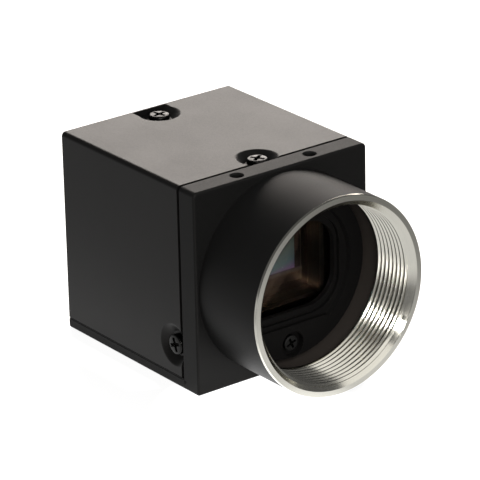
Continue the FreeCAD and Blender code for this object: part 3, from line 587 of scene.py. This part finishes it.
def silicon(name):
    """Image sensor: an iridescent field of pixels, a circuit border and rows of contact pads."""
    shader = Shader(name, roughness=0.2)
    side_border, top_border = 1.3 * MM, 2.05 * MM
    pad_middle, pad_half, pads_per_metre = 1.05 * MM, 0.11 * MM, 3300.0
    size = half("sensor_die")
    centre = middle("sensor_die")
    across, _, up = shader.split(shader.place(centre))
    aside = shader.math("SUBTRACT", shader.math("ABSOLUTE", across), size.x - side_border)
    rise = shader.math("SUBTRACT", shader.math("ABSOLUTE", up), size.z - top_border)
    field = shader.math("LESS_THAN", shader.math("MAXIMUM", aside, rise), 0.0)
    slant = shader.math("SUBTRACT", up, shader.math("MULTIPLY", across, 0.25))
    tints = shader.ramp(shader.span(slant, -4 * MM, 3 * MM), FIELD_TINTS)
    border = shader.ramp(shader.span(rise, 0.0, top_border), BORDER_TINTS)
    blocks = shader.bricks(shader.place(centre, rotation=(math.pi / 2, 0, 0)), 0.75, 0.45, 1400.0, 0.03)
    border = shader.mix(shader.span(blocks, 0.4, 1.0), (0.05, 0.04, 0.04), border)
    row = shader.math("FRACT", shader.math("MULTIPLY", shader.math("ADD", across, up), pads_per_metre))
    pads = shader.math("MULTIPLY", shader.math("COMPARE", aside, pad_middle, pad_half),
                       shader.math("GREATER_THAN", row, 0.45))
    shade = shader.mix(field, border, tints)
    shader.wire("Base Color", shader.mix(pads, shade, (0.2, 0.17, 0.13)))
    shader.wire("Metallic", shader.span(field, 0.0, 1.0, 0.55, 0.45))
    return shader.material


def circuit_board(name):
    """Green solder resist over tracks."""
    tone = (0.015, 0.13, 0.055)
    shader = Shader(name, base_color=tone, roughness=0.35)
    tracks = shader.bricks(shader.place(), 0.6, 0.2, 900.0, 0.06)
    shader.wire("Base Color", shader.shades(tracks, tone, 0.6, 1.5))
    shader.bump(tracks, 0.2, RELIEF * 1.5)
    return shader.material


# pieces


def sizes():
    """The size settings of this scene."""
    return bpy.context.scene.vision_camera_sizes


def tones():
    """The colour settings of this scene."""
    return bpy.context.scene.vision_camera_colours


def cover_screws():
    """Where the cover's screws sit on its surface, which way each looks out, and how it is turned."""
    top, side = high("cover").z, high("cover").x
    return (((0, SCREW_FRONT, top), Z, 0.55), ((0, SCREW_REAR, top), Z, 0.2),
            ((-side, SCREW_FRONT, SIDE_SCREW_HEIGHT), -X, 0.35),
            ((side, SCREW_FRONT, SIDE_SCREW_HEIGHT), X, 0.1))


def retainer_screw_rise():
    """Distance of a retainer screw from the lens axis."""
    return sizes().thread_crest - 1.95 * MM


class BuildPiece:
    """Common settings of the operators."""
    bl_options = {"REGISTER", "UNDO"}


class OBJECT_OT_vision_chassis(BuildPiece, Operator):
    """Build the front block, lens tube and base ledge"""
    bl_idname = "object.vision_chassis"
    bl_label = "Chassis"

    def execute(self, context):
        size = sizes()
        seam = FRONT + size.front_depth
        play = 0.05 * MM
        room = (high("chassis").x - size.sheet - play, high("chassis").z - size.sheet - play)
        chassis = self.body(size, seam, room)
        self.open_lens(chassis, seam, room)
        carve(chassis, "holes", self.drill)
        fine_edges(chassis, size.edge_break)
        # the bore colour here is painted light in the lens bore, from the light the steel thread throws into
        # it
        black = anodised("Anodised frame", tones().frame_black[:], 0.5, 1.23, bore=(0.055, 0.047, 0.042))
        finish_piece(chassis, black, "black_anodised", "chassis")
        return {"FINISHED"}

    def body(self, size, seam, room):
        """Front block, ledge, floor and step under the cover, spigot inside it, and tube."""
        start, end = low("chassis"), high("chassis")
        inner, inner_top = room
        floor = low("rear_panel").z
        groove = 0.2 * MM
        ledge_top = size.ledge_height
        step_side = start.x + 0.06 * MM
        step_top = low("cover").z - 0.12 * MM

        def block(bm):
            add_box(bm, (start.x, FRONT, 0), (end.x, seam - groove, end.z))
            soften(bm, long_edges(bm, lambda corner: corner.z > end.z - NEAR), size.top_edge, 6)
            soften(bm, long_edges(bm, lambda corner: corner.z < NEAR), size.foot_edge, 5)
            soften(bm, edges_where(bm, lambda corner: corner.y < FRONT + TINY), size.front_edge, 4)

        def ledge(bm):
            add_box(bm, (start.x, seam - OVER, 0), (end.x, REAR, ledge_top))
            soften(bm, long_edges(bm, lambda corner: corner.z < TINY), size.foot_edge, 5)

        chassis = shaped("chassis_body", block)
        join(chassis, "ledge", ledge)
        join(chassis, "floor", box_shape((-inner, seam - OVER, ledge_top - 0.5 * MM), (inner, REAR, floor)))
        join(chassis, "step", box_shape((step_side, seam - OVER, ledge_top - 0.6 * MM),
                                        (-step_side, REAR, step_top)))
        join(chassis, "spigot", box_shape((-inner, seam - OVER, floor - 0.5 * MM),
                                          (inner, seam + 3.8 * MM, inner_top)))
        join(chassis, "tube", round_shape(start.y, FRONT + 0.5 * MM, half("lens_mount_ring").x))
        return chassis

    def open_lens(self, chassis, seam, room):
        """Ring seat, bore, filter pocket, sensor aperture and the room behind the front wall."""
        axis_point = Vector((0, FRONT, LENS))
        glass, seal = half("filter_glass"), half("sensor_seal")
        inner, inner_top = room
        play = 0.1 * MM
        seal_rim = 1.3 * MM
        wall = 2.1 * MM
        carve(chassis, "seat", round_shape(low("chassis").y - OVER, RING_REAR, SEAT_RADIUS))
        carve(chassis, "bore", round_shape(RING_REAR - OVER, FRONT, BORE_RADIUS))
        carve(chassis, "pocket", plate_shape(axis_point, glass.x + play, glass.z + play, FRONT - OVER,
                                             high("filter_glass").y, FILTER_CORNER + play))
        carve(chassis, "aperture", plate_shape(axis_point, seal.x - seal_rim, seal.z - seal_rim, FRONT,
                                               seam + OVER, 1.0 * MM))
        carve(chassis, "opening", box_shape((wall - inner, low("sensor_seal").y, low("rear_panel").z),
                                            (inner - wall, seam + 5 * MM, inner_top - wall)))

    def drill(self, bm):
        """Tapped holes in the top and the base, and the foot screws' countersunk holes."""
        pair, square = 6.1 * MM, 10 * MM
        for side in (-pair, pair):
            add_hole(bm, (side, FRONT + 1.7 * MM, high("chassis").z), -1, radius=0.8 * MM, mouth=1.1 * MM,
                     depth=3.0 * MM)
        for side in (-square, square):
            for along in (-square, square):
                add_hole(bm, (side, FRONT + 15 * MM + along, 0), 1, radius=1.25 * MM, mouth=1.6 * MM,
                         depth=2.2 * MM)
        over, mouth, shank = 0.1 * MM, 1.5 * MM, 0.66 * MM
        cone_depth, depth = 0.8 * MM, 3.5 * MM
        for side in (-FOOT_SCREW_SIDE, FOOT_SCREW_SIDE):
            add_lathe(bm, [(0, -over), (mouth + over, -over), (mouth, 0), (shank, cone_depth), (shank, depth),
                           (0, depth)], (side, SCREW_REAR, 0), Z, 40)


class OBJECT_OT_vision_cover(BuildPiece, Operator):
    """Build the cover's top and sides with its screw pockets"""
    bl_idname = "object.vision_cover"
    bl_label = "Cover"

    def execute(self, context):
        size = sizes()
        start, end = low("cover"), high("cover")
        over = 0.3 * MM
        slope = (size.pocket_mouth - size.pocket_floor) / size.pocket_depth

        def sheet(bm):
            add_box(bm, start, end)
            soften(bm, long_edges(bm, lambda corner: corner.z > end.z - NEAR), size.top_edge, 8)

        def hollow(bm):
            add_box(bm, (start.x + size.sheet, start.y - OVER, start.z - OVER),
                    (end.x - size.sheet, end.y + OVER, end.z - size.sheet))
            soften(bm, long_edges(bm, lambda corner: corner.z > end.z - 2 * NEAR), 0.2 * MM, 4)

        def pockets(bm):
            hole = 0.85 * MM
            lip = [(size.pocket_mouth + wider * MM, -deeper * MM)
                   for wider, deeper in ((0.24, 0.0), (0.14, 0.02), (0.02, 0.07), (-slope * 0.2, 0.2))]
            profile = [(0, over), (lip[0][0], over), *lip, (size.pocket_floor, -size.pocket_depth),
                       (hole, -size.pocket_depth), (hole, -size.sheet - over), (0, -size.sheet - over)]
            for spot, out, _ in cover_screws():
                add_lathe(bm, profile, spot, out, 72)

        def notch(bm):
            wide = size.pocket_mouth + slope * over
            corners = [(-wide, over), (-size.pocket_floor, -size.pocket_depth),
                       (size.pocket_floor, -size.pocket_depth), (wide, over)]
            face = bm.faces.new([bm.verts.new((x, SCREW_REAR, end.z + rise)) for x, rise in corners])
            moved = bmesh.ops.extrude_face_region(bm, geom=[face])["geom"]
            bmesh.ops.translate(bm, vec=Y * SCREW_INSET,
                                verts=[item for item in moved if isinstance(item, bmesh.types.BMVert)])

        cover = shaped("cover_sheet", sheet)
        carve(cover, "hollow", hollow)
        carve(cover, "pockets", pockets)
        carve(cover, "notch", notch)
        join(cover, "web", box_shape((-size.pocket_mouth, end.y - size.pocket_web, end.z - size.sheet),
                                     (size.pocket_mouth, end.y, end.z)))
        fine_edges(cover, size.edge_break * 3)
        black = anodised("Anodised cover", tones().cover_black[:], 0.36, 1.27, 0.2)
        finish_piece(cover, black, "black_anodised", "cover")
        return {"FINISHED"}


class OBJECT_OT_vision_lens_ring(BuildPiece, Operator):
    """Build the steel ring with its cut lens thread"""
    bl_idname = "object.vision_lens_ring"
    bl_label = "Lens Mount Ring"

    def execute(self, context):
        ring = shaped("lens_ring", self.blank)
        carve(ring, "thread", self.thread)
        finish_piece(ring, turned_steel("Turned steel", tones().steel[:]), "lens_steel", "lens_mount_ring",
                     sharp=22)
        return {"FINISHED"}

    def blank(self, bm):
        """Plain ring with a flange, a broken outer edge and a chamfered mouth."""
        size = sizes()
        outer = half("lens_mount_ring").x
        shoulder = RING_FACE + 0.3 * MM
        edge = 0.26 * MM
        add_lathe(bm, [(size.thread_crest, RING_REAR), (SLEEVE_RADIUS, RING_REAR), (SLEEVE_RADIUS, shoulder),
                       (outer, shoulder), (outer, RING_FACE + edge), (outer - edge * 0.4, RING_FACE),
                       (size.thread_crest + size.mouth_chamfer, RING_FACE),
                       (size.thread_crest, RING_FACE + size.mouth_chamfer)],
                  (0, 0, LENS), Y, size.round_steps * 2)

    def groove(self, size):
        """Profile of one turn of the groove, as (radius, height), with rounded crest and valley edges."""
        pitch, root = size.thread_pitch, size.thread_root
        crest = size.thread_crest - 0.02 * MM
        slope = math.radians(58)
        bend = 0.03 * MM
        flank = root - crest - 2 * bend * (1 - math.cos(slope))
        flat = (pitch / 2 - flank / math.tan(slope) - 2 * bend * math.sin(slope)) / 2
        bends = [(bend * (1 - math.cos(turn)), bend * math.sin(turn))
                 for turn in (0, slope / 3, slope * 2 / 3, slope)]
        rise_side = [(crest + across, flat + along) for across, along in bends]
        rise_side += [(root - across, pitch / 2 - flat - along) for across, along in reversed(bends)]
        fall_side = [(radius, pitch - rise) for radius, rise in reversed(rise_side)]
        return rise_side + fall_side + [(crest, pitch + flat)]

    def thread(self, bm):
        """The groove wound as a helix past both ends of the ring, and cut off square there."""
        size = sizes()
        pitch, steps = size.thread_pitch, size.round_steps
        start = RING_FACE - 2 * pitch
        verts = [bm.verts.new((radius, start + rise, LENS)) for radius, rise in self.groove(size)]
        edges = [bm.edges.new(pair) for pair in zip(verts, verts[1:])]
        turns = int((RING_REAR - RING_FACE + 3.5 * pitch) / pitch)
        bmesh.ops.spin(bm, geom=verts + edges, cent=(0, 0, LENS), axis=Y, dvec=Y * (pitch / steps),
                       angle=2 * math.pi * turns, steps=steps * turns, use_merge=False, use_duplicate=False)
        bmesh.ops.remove_doubles(bm, verts=bm.verts, dist=2e-6)
        for where, keep in ((RING_FACE - 0.3 * MM, -1), (RING_REAR - 0.25 * MM, 1)):
            geom = list(bm.verts) + list(bm.edges) + list(bm.faces)
            cut = bmesh.ops.bisect_plane(bm, geom=geom, dist=1e-7, plane_co=(0, where, 0), plane_no=Y,
                                         clear_outer=keep > 0, clear_inner=keep < 0)
            rim = [item for item in cut["geom_cut"] if isinstance(item, bmesh.types.BMEdge)]
            bmesh.ops.contextual_create(bm, geom=rim)


class OBJECT_OT_vision_retainer(BuildPiece, Operator):
    """Build the black plate that holds the filter"""
    bl_idname = "object.vision_retainer"
    bl_label = "Filter Retainer"

    def execute(self, context):
        near, far = low("filter_retainer").y, high("filter_retainer").y
        radius = half("filter_retainer").x
        centre = Vector((0, near, LENS))
        glass = half("filter_glass")
        half_width, half_height = glass.x - 1.1 * MM, glass.z - 1.2 * MM
        recess, step = 0.6 * MM, 0.5 * MM
        step_side, step_rise = 0.45 * MM, 0.9 * MM
        corner, corner_steps = 4.4 * MM, 12
        plate = shaped("retainer_plate", round_shape(near, far, radius))
        combine(plate, self.recess(near, radius, recess, half_height), "DIFFERENCE")
        carve(plate, "step", plate_shape(centre, half_width + step_side, half_height + step_rise, near - OVER,
                                         near + recess + step, corner + step_side, corner_steps))
        carve(plate, "window", plate_shape(centre, half_width, half_height, near - OVER, far + OVER, corner,
                                           corner_steps))
        carve(plate, "counterbores", self.counterbores)
        fine_edges(plate, 0.05 * MM)
        finish_piece(plate, anodised("Anodised retainer", tones().bore_black[:], 0.45, 1.15), "bore_black",
                     "filter_retainer")
        return {"FINISHED"}

    def recess(self, near, radius, depth, window_half):
        """Cutter of the dished recess, without the two lands that carry the screws."""
        over = 0.1 * MM
        rim = radius - 2.1 * MM
        slope = 0.25 / 0.6
        land_side = 6 * MM
        inner, outer = window_half + 1.5 * MM, radius - 1.8 * MM + OVER
        cutter = shaped("recess", lambda bm: add_cone(bm, (0, near - over, LENS), Y, rim + slope * over,
                                                      rim - slope * depth, depth + over, sizes().round_steps))
        for bottom, top in ((-outer, -inner), (inner, outer)):
            carve(cutter, "land", box_shape((-land_side, near - OVER, LENS + bottom),
                                            (land_side, near + OVER, LENS + top)))
        return cutter

    def counterbores(self, bm):
        """Stepped holes of the two screws."""
        near, rise = low("filter_retainer").y, retainer_screw_rise()
        over, head, shank = 0.5 * MM, 1.8 * MM, 0.5 * MM
        head_depth, depth = 1.0 * MM, 2.5 * MM
        for way in (-1, 1):
            add_lathe(bm, [(0, -over), (head, -over), (head, head_depth), (shank, head_depth), (shank, depth),
                           (0, depth)], (0, near, LENS + way * rise), Y, 48)


class OBJECT_OT_vision_screws(BuildPiece, Operator):
    """Build the screws of the cover, the retainer and the base"""
    bl_idname = "object.vision_screws"
    bl_label = "Screws"

    def execute(self, context):
        size = sizes()
        sink = size.pocket_depth
        near = low("filter_retainer").y
        black = plated("Plated screw", tones().screw[:])
        made = [self.screw("cover_screw", self.seat(Vector(spot) - out * sink, out, turn), radius=1.43 * MM,
                           height=sink - 0.1 * MM, cross=2.0 * MM, shank=(0.55 * MM, 2.2 * MM))
                for spot, out, turn in cover_screws()]
        self.finish("cover_screw_set", made, black, "cover_screws")
        # the retainer screws turn black behind this depth: painted shade of their counterbores
        dark = moulded("Blackened screw", (0.017, 0.017, 0.017), 0.45, ior=1.22, painted_shade_depth=near + 0.42 * MM)
        made = [self.screw("retainer_screw",
                           self.seat((0, near + 1.0 * MM, LENS + way * retainer_screw_rise()), -Y, turn),
                           radius=1.1 * MM, height=0.7 * MM, cross=1.6 * MM, shank=(0.45 * MM, 1.8 * MM))
                for way, turn in ((-1, 0.4), (1, 1.0))]
        self.finish("retainer_screw_set", made, dark, "retainer_screws")
        made = [self.foot_screw(self.seat((side, SCREW_REAR, 0.05 * MM), -Z, turn))
                for side, turn in ((-FOOT_SCREW_SIDE, 0.3), (FOOT_SCREW_SIDE, 0.9))]
        self.finish("foot_screw_set", made, black, "foot_screws")
        return {"FINISHED"}

    def seat(self, spot, out, turn):
        """Place and turn a screw whose head looks out along an axis."""
        return move(Vector(spot)) @ axis_turn(Vector(out)) @ Matrix.Rotation(turn, 4, "Z")

    def screw(self, name, matrix, radius, height, cross, shank):
        """One screw with a rounded flat head and a cross recess, its head's seat at the matrix."""
        rim = min(0.3 * MM, height * 0.4)
        shank_radius, shank_length = shank
        head = shaped(name, lambda bm: add_lathe(
            bm, [(0, 0), (radius, 0), (radius, height - rim), (radius - rim * 0.12, height - rim * 0.45),
                 (radius - rim * 0.45, height - rim * 0.12), (radius - rim, height), (0, height)],
            (0, 0, 0), Z, 48))
        join(head, "shank", lambda bm: add_cone(bm, (0, 0, -shank_length), Z, shank_radius, shank_radius,
                                                shank_length + 0.1 * MM, 24))
        long, narrow, slot_depth = cross / 2, cross * 0.12, cross * 0.3
        for wide, deep in ((long, narrow), (narrow, long)):
            carve(head, "cross", box_shape((-wide, -deep, height - slot_depth), (wide, deep, height + OVER)))
        carve(head, "cross", lambda bm: bmesh.ops.create_cone(
            bm, cap_ends=True, segments=12, radius1=cross * 0.06, radius2=cross * 0.26, depth=cross * 0.4,
            matrix=move((0, 0, height - cross * 0.13))))
        head.data.transform(matrix)
        return head

    def foot_screw(self, matrix):
        """One countersunk screw with a cross recess, the face of its head at the matrix."""
        radius, shank = 1.4 * MM, 0.55 * MM
        cone_depth, depth = 0.8 * MM, 4.1 * MM
        long, narrow = 1.75 * MM / 2, 0.35 * MM / 2
        head = shaped("foot_screw", lambda bm: add_lathe(
            bm, [(0, 0), (radius, 0), (shank, -cone_depth), (shank, -depth), (0, -depth)], (0, 0, 0), Z, 48))
        for wide, deep in ((long, narrow), (narrow, long)):
            carve(head, "cross", box_shape((-wide, -deep, -0.45 * MM), (wide, deep, OVER)))
        head.data.transform(matrix)
        return head

    def finish(self, name, screws, material, node):
        """Merge like screws and finish them as one piece."""
        thing = merge(name, screws)
        fine_edges(thing, 0.03 * MM)
        finish_piece(thing, material, "black_screws", node)


class OBJECT_OT_vision_optics(BuildPiece, Operator):
    """Build the filter window, the sensor and its package"""
    bl_idname = "object.vision_optics"
    bl_label = "Filter and Sensor"

    def execute(self, context):
        coated = clear_glass("Coated filter", (0.86, 0.93, 0.95), tones().coating[:], 1.31)
        self.pane("filter_window", "filter_glass", FILTER_CORNER, 0.1 * MM, coated, "filter_glass")
        clear = clear_glass("Lid glass", (0.97, 0.98, 0.98), ior=1.08)
        self.pane("sensor_lid", "sensor_cover_glass", 0.5 * MM, 0.05 * MM, clear, "lid_glass")
        chip = silicon("Sensor silicon")
        self.pane("sensor_chip", "sensor_die", 0.1 * MM, 0.02 * MM, chip, "sensor_silicon")
        return {"FINISHED"}

    def pane(self, name, node, corner, edge, material, slot):
        """Rounded pane that fills a frame node's box."""
        size = half(node)
        thing = shaped(name, plate_shape(Vector((0, 0, LENS)), size.x, size.z, low(node).y, high(node).y,
                                         corner))
        fine_edges(thing, edge)
        finish_piece(thing, material, slot, node)


class OBJECT_OT_vision_inner_parts(BuildPiece, Operator):
    """Finish the boards, chips and other pieces that the frame already shapes"""
    bl_idname = "object.vision_inner_parts"
    bl_label = "Boards and Inner Pieces"

    def execute(self, context):
        soft_black = (0.006, 0.006, 0.006)
        dress(circuit_board("Solder resist"), "sensor_board", "main_board", "socket_board")
        dress(moulded("Chip resin", (0.025, 0.025, 0.027), 0.45), "image_processor", "memory_chips",
              "usb_bridge")
        dress(moulded("Connector plastic", (0.03, 0.03, 0.032), 0.5), "front_link_socket", "front_link_plug",
              "rear_link_socket", "rear_link_plug")
        dress(moulded("Ferrite", (0.12, 0.12, 0.125), 0.6), "power_inductors")
        dress(moulded("Capacitor ceramic", (0.45, 0.33, 0.2), 0.4), "board_capacitors")
        dress(moulded("Package ceramic", (0.006, 0.004, 0.0035), 0.5, ior=1.12), "sensor_package")
        dress(moulded("Gasket rubber", soft_black, 0.7, ior=1.12), "filter_gasket")
        dress(moulded("Seal foam", soft_black, 0.7, ior=1.12), "sensor_seal")
        dress(brushed("Brass", (0.8, 0.62, 0.3), 0.3), "front_spacers", "rear_spacers")
        dress(brushed("Screw steel", (0.55, 0.54, 0.52), 0.3), "board_screws")
        dress(brushed("Crystal can", (0.62, 0.61, 0.58), 0.3), "clock_crystal")
        dress(moulded("Lamp resin", (0.82, 0.84, 0.8), 0.3), "status_lamp")
        return {"FINISHED"}


class OBJECT_OT_vision_rear_panel(BuildPiece, Operator):
    """Build the rear panel with its openings"""
    bl_idname = "object.vision_rear_panel"
    bl_label = "Rear Panel"

    def execute(self, context):
        start, end = low("rear_panel"), high("rear_panel")
        usb, usb_half = middle("usb_shell"), half("usb_shell")
        io, pipe = middle("io_shell"), middle("light_pipe")
        rim, play = 2.1 * MM, 0.25 * MM
        wall = end.y - 1.8 * MM
        flare, flare_start = 0.3 * MM, end.y - 0.2 * MM
        locks = [(side, usb.z, 0.8 * MM, 40) for side in (-9.5 * MM, 9.5 * MM)]
        pipe_hole = (pipe.x, pipe.z, 0.95 * MM, 40)
        io_hole = (io.x, io.z, 4.0 * MM, 96)

        def round_openings(bm):
            for x, z, radius, steps in (*locks, io_hole, pipe_hole):
                add_cone(bm, (x, wall - OVER, z), Y, radius, radius, 4 * MM, steps)

        def lock_mouths(bm):
            for x, z, radius, steps in (*locks, pipe_hole):
                add_cone(bm, (x, flare_start, z), Y, radius, radius + flare, flare, steps)

        panel = shaped("rear_plate", box_shape(start, end))
        carve(panel, "hollow", box_shape((start.x + rim, start.y - OVER, start.z + rim),
                                         (end.x - rim, wall, end.z - rim)))
        carve(panel, "usb_opening", plate_shape(usb, usb_half.x + play, usb_half.z + play, wall - OVER,
                                                end.y + OVER, 0.5 * MM, 6))
        carve(panel, "round_openings", round_openings)
        carve(panel, "lock_mouths", lock_mouths)
        fine_edges(panel, sizes().edge_break)
        finish_piece(panel, anodised("Anodised panel", tones().frame_black[:], 0.4, 1.2), "black_anodised",
                     "rear_panel")
        return {"FINISHED"}


class OBJECT_OT_vision_sockets(BuildPiece, Operator):
    """Finish the USB socket, the round trigger socket and the light pipe"""
    bl_idname = "object.vision_sockets"
    bl_label = "Sockets and Light Pipe"

    def execute(self, context):
        dress(brushed("Socket steel", (0.66, 0.65, 0.63), 0.28), "usb_shell", "io_shell")
        dress(brushed("Contact gold", (0.86, 0.64, 0.26), 0.25), "usb_contacts", "io_pins")
        dress(moulded("Insert plastic", (0.022, 0.022, 0.023), 0.42), "usb_core", "io_insert")
        dress(clear_glass("Pipe acrylic", (0.93, 0.96, 0.94), roughness=0.2), "light_pipe")
        return {"FINISHED"}


# studio

# the floor's glow for reflections: its middle, how far it reaches, where the left one fades in from the
# front to the rear, and the strength along the way
GLOW_MIDDLE = (-11 * MM, -17 * MM, 0)
FRONT_REACH, LEFT_REACH = 80 * MM, 48 * MM
LEFT_FADE = (-5 * MM, 15 * MM)
FRONT_GLOW = ((0.0, 1.0), (0.1, 0.62), (0.2, 0.28), (0.35, 0.27), (0.45, 0.17), (0.75, 0.067), (1.0, 0.017))
LEFT_GLOW = ((0.0, 0.0), (0.12, 0.42), (0.25, 0.35), (0.5, 0.18), (1.0, 0.17))
GLOW_STRENGTH = 3.0
WHITE_STRENGTH = 1.12

# each lamp's name, setting, place, width and height in metres, tint, and the way its width runs
LAMPS = (
    ("Overhead softbox", "overhead", (0.06, -0.42, 0.50), 0.66, 0.56, (1.0, 0.98, 0.94), X),
    ("Rear softbox", "back_box", (0.30, 0.40, 0.22), 0.34, 0.22, (1.0, 0.93, 0.87), X),
    ("Front lamp", "front_lamp", (-0.197, -0.382, 0.149), 0.22, 0.01, (1.0, 0.98, 0.94),
     Vector((-0.825, 0, 0.565))),
)


class OBJECT_OT_vision_stage(BuildPiece, Operator):
    """Set up the floor, the lamps and the photographer's camera"""
    bl_idname = "object.vision_stage"
    bl_label = "Studio"

    def execute(self, context):
        settings = context.scene.vision_camera_studio
        self.place_camera(context, settings)
        self.lay_floor(settings)
        self.hang_lamps(settings)
        self.paint_world(context)
        context.scene.view_settings.view_transform = "Standard"
        return {"FINISHED"}

    def place_camera(self, context, settings):
        """Camera at the photograph's angle, distance and lens."""
        around, above, roll = settings.azimuth, settings.elevation, settings.roll
        back = Vector((math.sin(around) * math.cos(above), -math.cos(around) * math.cos(above),
                       math.sin(above)))
        right = Vector((math.cos(around), math.sin(around), 0))
        up = back.cross(right)
        spot = (right * settings.pan_right + up * settings.pan_up + back * settings.distance
                + Vector((0, FRONT, LENS)))
        rolled_right = right * math.cos(roll) + up * math.sin(roll)
        rolled_up = up * math.cos(roll) - right * math.sin(roll)
        data = bpy.data.cameras.new("Photographer")
        data.lens = settings.focal
        data.sensor_width = FILM_WIDTH
        data.clip_start = 0.01
        data.clip_end = 10
        camera = bpy.data.objects.new("Photographer", data)
        turn = Matrix((rolled_right, rolled_up, back)).transposed().to_4x4()
        camera.matrix_world = move(spot) @ turn
        context.scene.collection.objects.link(camera)
        context.scene.camera = camera

    def lay_floor(self, settings):
        """Pale floor that shows white, keeps the object's shadow, and glows in reflections of it."""
        floor = shaped("studio_floor", lambda bm: bmesh.ops.create_grid(
            bm, x_segments=1, y_segments=1, size=3, matrix=move((0, 0, -TINY))))
        tone = settings.floor_tone
        shader = Shader("Studio floor", roughness=0.14, base_color=(tone, tone, tone),
                        emission_color=(1.0, 1.0, 1.0))
        camera, seen = shader.rays()
        where = shader.place(GLOW_MIDDLE)
        parts = shader.split(where)
        away = shader.node("VectorMath", {0: where}, operation="LENGTH").outputs["Value"]
        front = shader.ramp(shader.span(away, 0.0, FRONT_REACH), FRONT_GLOW)
        left = shader.ramp(shader.span(parts[0], 0.0, -LEFT_REACH), LEFT_GLOW)
        left = shader.math("MULTIPLY", left, shader.span(parts[1], *LEFT_FADE))
        glow = shader.math("MULTIPLY", shader.math("MAXIMUM", front, left), GLOW_STRENGTH)
        glow = shader.math("MAXIMUM", shader.math("MULTIPLY", camera, WHITE_STRENGTH), glow)
        strength = shader.math("MULTIPLY", shader.math("MULTIPLY", seen, glow), 1.0 - tone)
        shader.wire("Emission Strength", strength)
        floor.data.materials.append(shader.material)

    def hang_lamps(self, settings):
        """Softboxes overhead and behind the object, and a narrow lamp beside the camera."""
        for name, setting, spot, wide, tall, tint, along in LAMPS:
            data = bpy.data.lights.new(name, "AREA")
            data.shape = "RECTANGLE"
            data.size = wide
            data.size_y = tall
            data.energy = getattr(settings, setting) * math.pi * wide * tall
            data.color = tint
            lamp = bpy.data.objects.new(name, data)
            away = (Vector(spot) - Vector((0, 0, LENS))).normalized()
            rise = away.cross(along).normalized()
            turn = Matrix((rise.cross(away), rise, away)).transposed().to_4x4()
            lamp.matrix_world = move(spot) @ turn
            lamp.visible_camera = False
            bpy.context.scene.collection.objects.link(lamp)

    def paint_world(self, context):
        """White for the camera, dim and darker overhead in reflections, brighter for plain shading."""
        horizon, dome, plain = 0.2, 0.1, 0.45
        world = bpy.data.worlds.new("Studio")
        context.scene.world = world
        tree = Tree(world)
        camera, seen = tree.rays()
        height = tree.split(tree.node("TexCoord").outputs["Generated"])[2]
        mirrored = tree.span(height, 0.0, 0.2, horizon, dome, interpolation_type="SMOOTHSTEP")
        shown = tree.math("MULTIPLY", tree.math("MAXIMUM", mirrored, camera), seen)
        shading = tree.math("MULTIPLY", plain, tree.math("SUBTRACT", 1.0, seen))
        background = tree.nodes["Background"]
        background.inputs["Color"].default_value = (1, 1, 1, 1)
        tree.links.new(tree.math("ADD", shown, shading), background.inputs["Strength"])


PIECES = (
    OBJECT_OT_vision_chassis,
    OBJECT_OT_vision_cover,
    OBJECT_OT_vision_lens_ring,
    OBJECT_OT_vision_retainer,
    OBJECT_OT_vision_screws,
    OBJECT_OT_vision_optics,
    OBJECT_OT_vision_inner_parts,
    OBJECT_OT_vision_rear_panel,
    OBJECT_OT_vision_sockets,
    OBJECT_OT_vision_stage,
)


class VIEW3D_PT_vision_camera(Panel):
    """Panel that lists the camera's pieces and settings"""
    bl_idname = "VIEW3D_PT_vision_camera"
    bl_label = "Machine Vision Camera"
    bl_space_type = "VIEW_3D"
    bl_region_type = "UI"
    bl_category = "Vision Camera"

    def draw(self, context):
        layout = self.layout
        for piece in PIECES:
            layout.operator(piece.bl_idname)
        for title, group in (("Sizes", context.scene.vision_camera_sizes),
                             ("Colours", context.scene.vision_camera_colours),
                             ("Studio", context.scene.vision_camera_studio)):
            box = layout.box()
            box.label(text=title)
            for key in group.__annotations__:
                box.prop(group, key)


SETTINGS = (CameraSizes, CameraColours, StudioSettings)


def register():
    """Register the settings, the operators and the panel."""
    for group in SETTINGS + PIECES + (VIEW3D_PT_vision_camera,):
        bpy.utils.register_class(group)
    bpy.types.Scene.vision_camera_sizes = PointerProperty(type=CameraSizes)
    bpy.types.Scene.vision_camera_colours = PointerProperty(type=CameraColours)
    bpy.types.Scene.vision_camera_studio = PointerProperty(type=StudioSettings)


def unregister():
    """Take everything that register added away again."""
    del bpy.types.Scene.vision_camera_studio
    del bpy.types.Scene.vision_camera_colours
    del bpy.types.Scene.vision_camera_sizes
    for group in reversed(SETTINGS + PIECES + (VIEW3D_PT_vision_camera,)):
        bpy.utils.unregister_class(group)


def main():
    """Build every piece and the studio."""
    register()
    bpy.ops.object.vision_chassis()
    bpy.ops.object.vision_cover()
    bpy.ops.object.vision_lens_ring()
    bpy.ops.object.vision_retainer()
    bpy.ops.object.vision_screws()
    bpy.ops.object.vision_optics()
    bpy.ops.object.vision_inner_parts()
    bpy.ops.object.vision_rear_panel()
    bpy.ops.object.vision_sockets()
    bpy.ops.object.vision_stage()


if __name__ == "__main__":
    main()
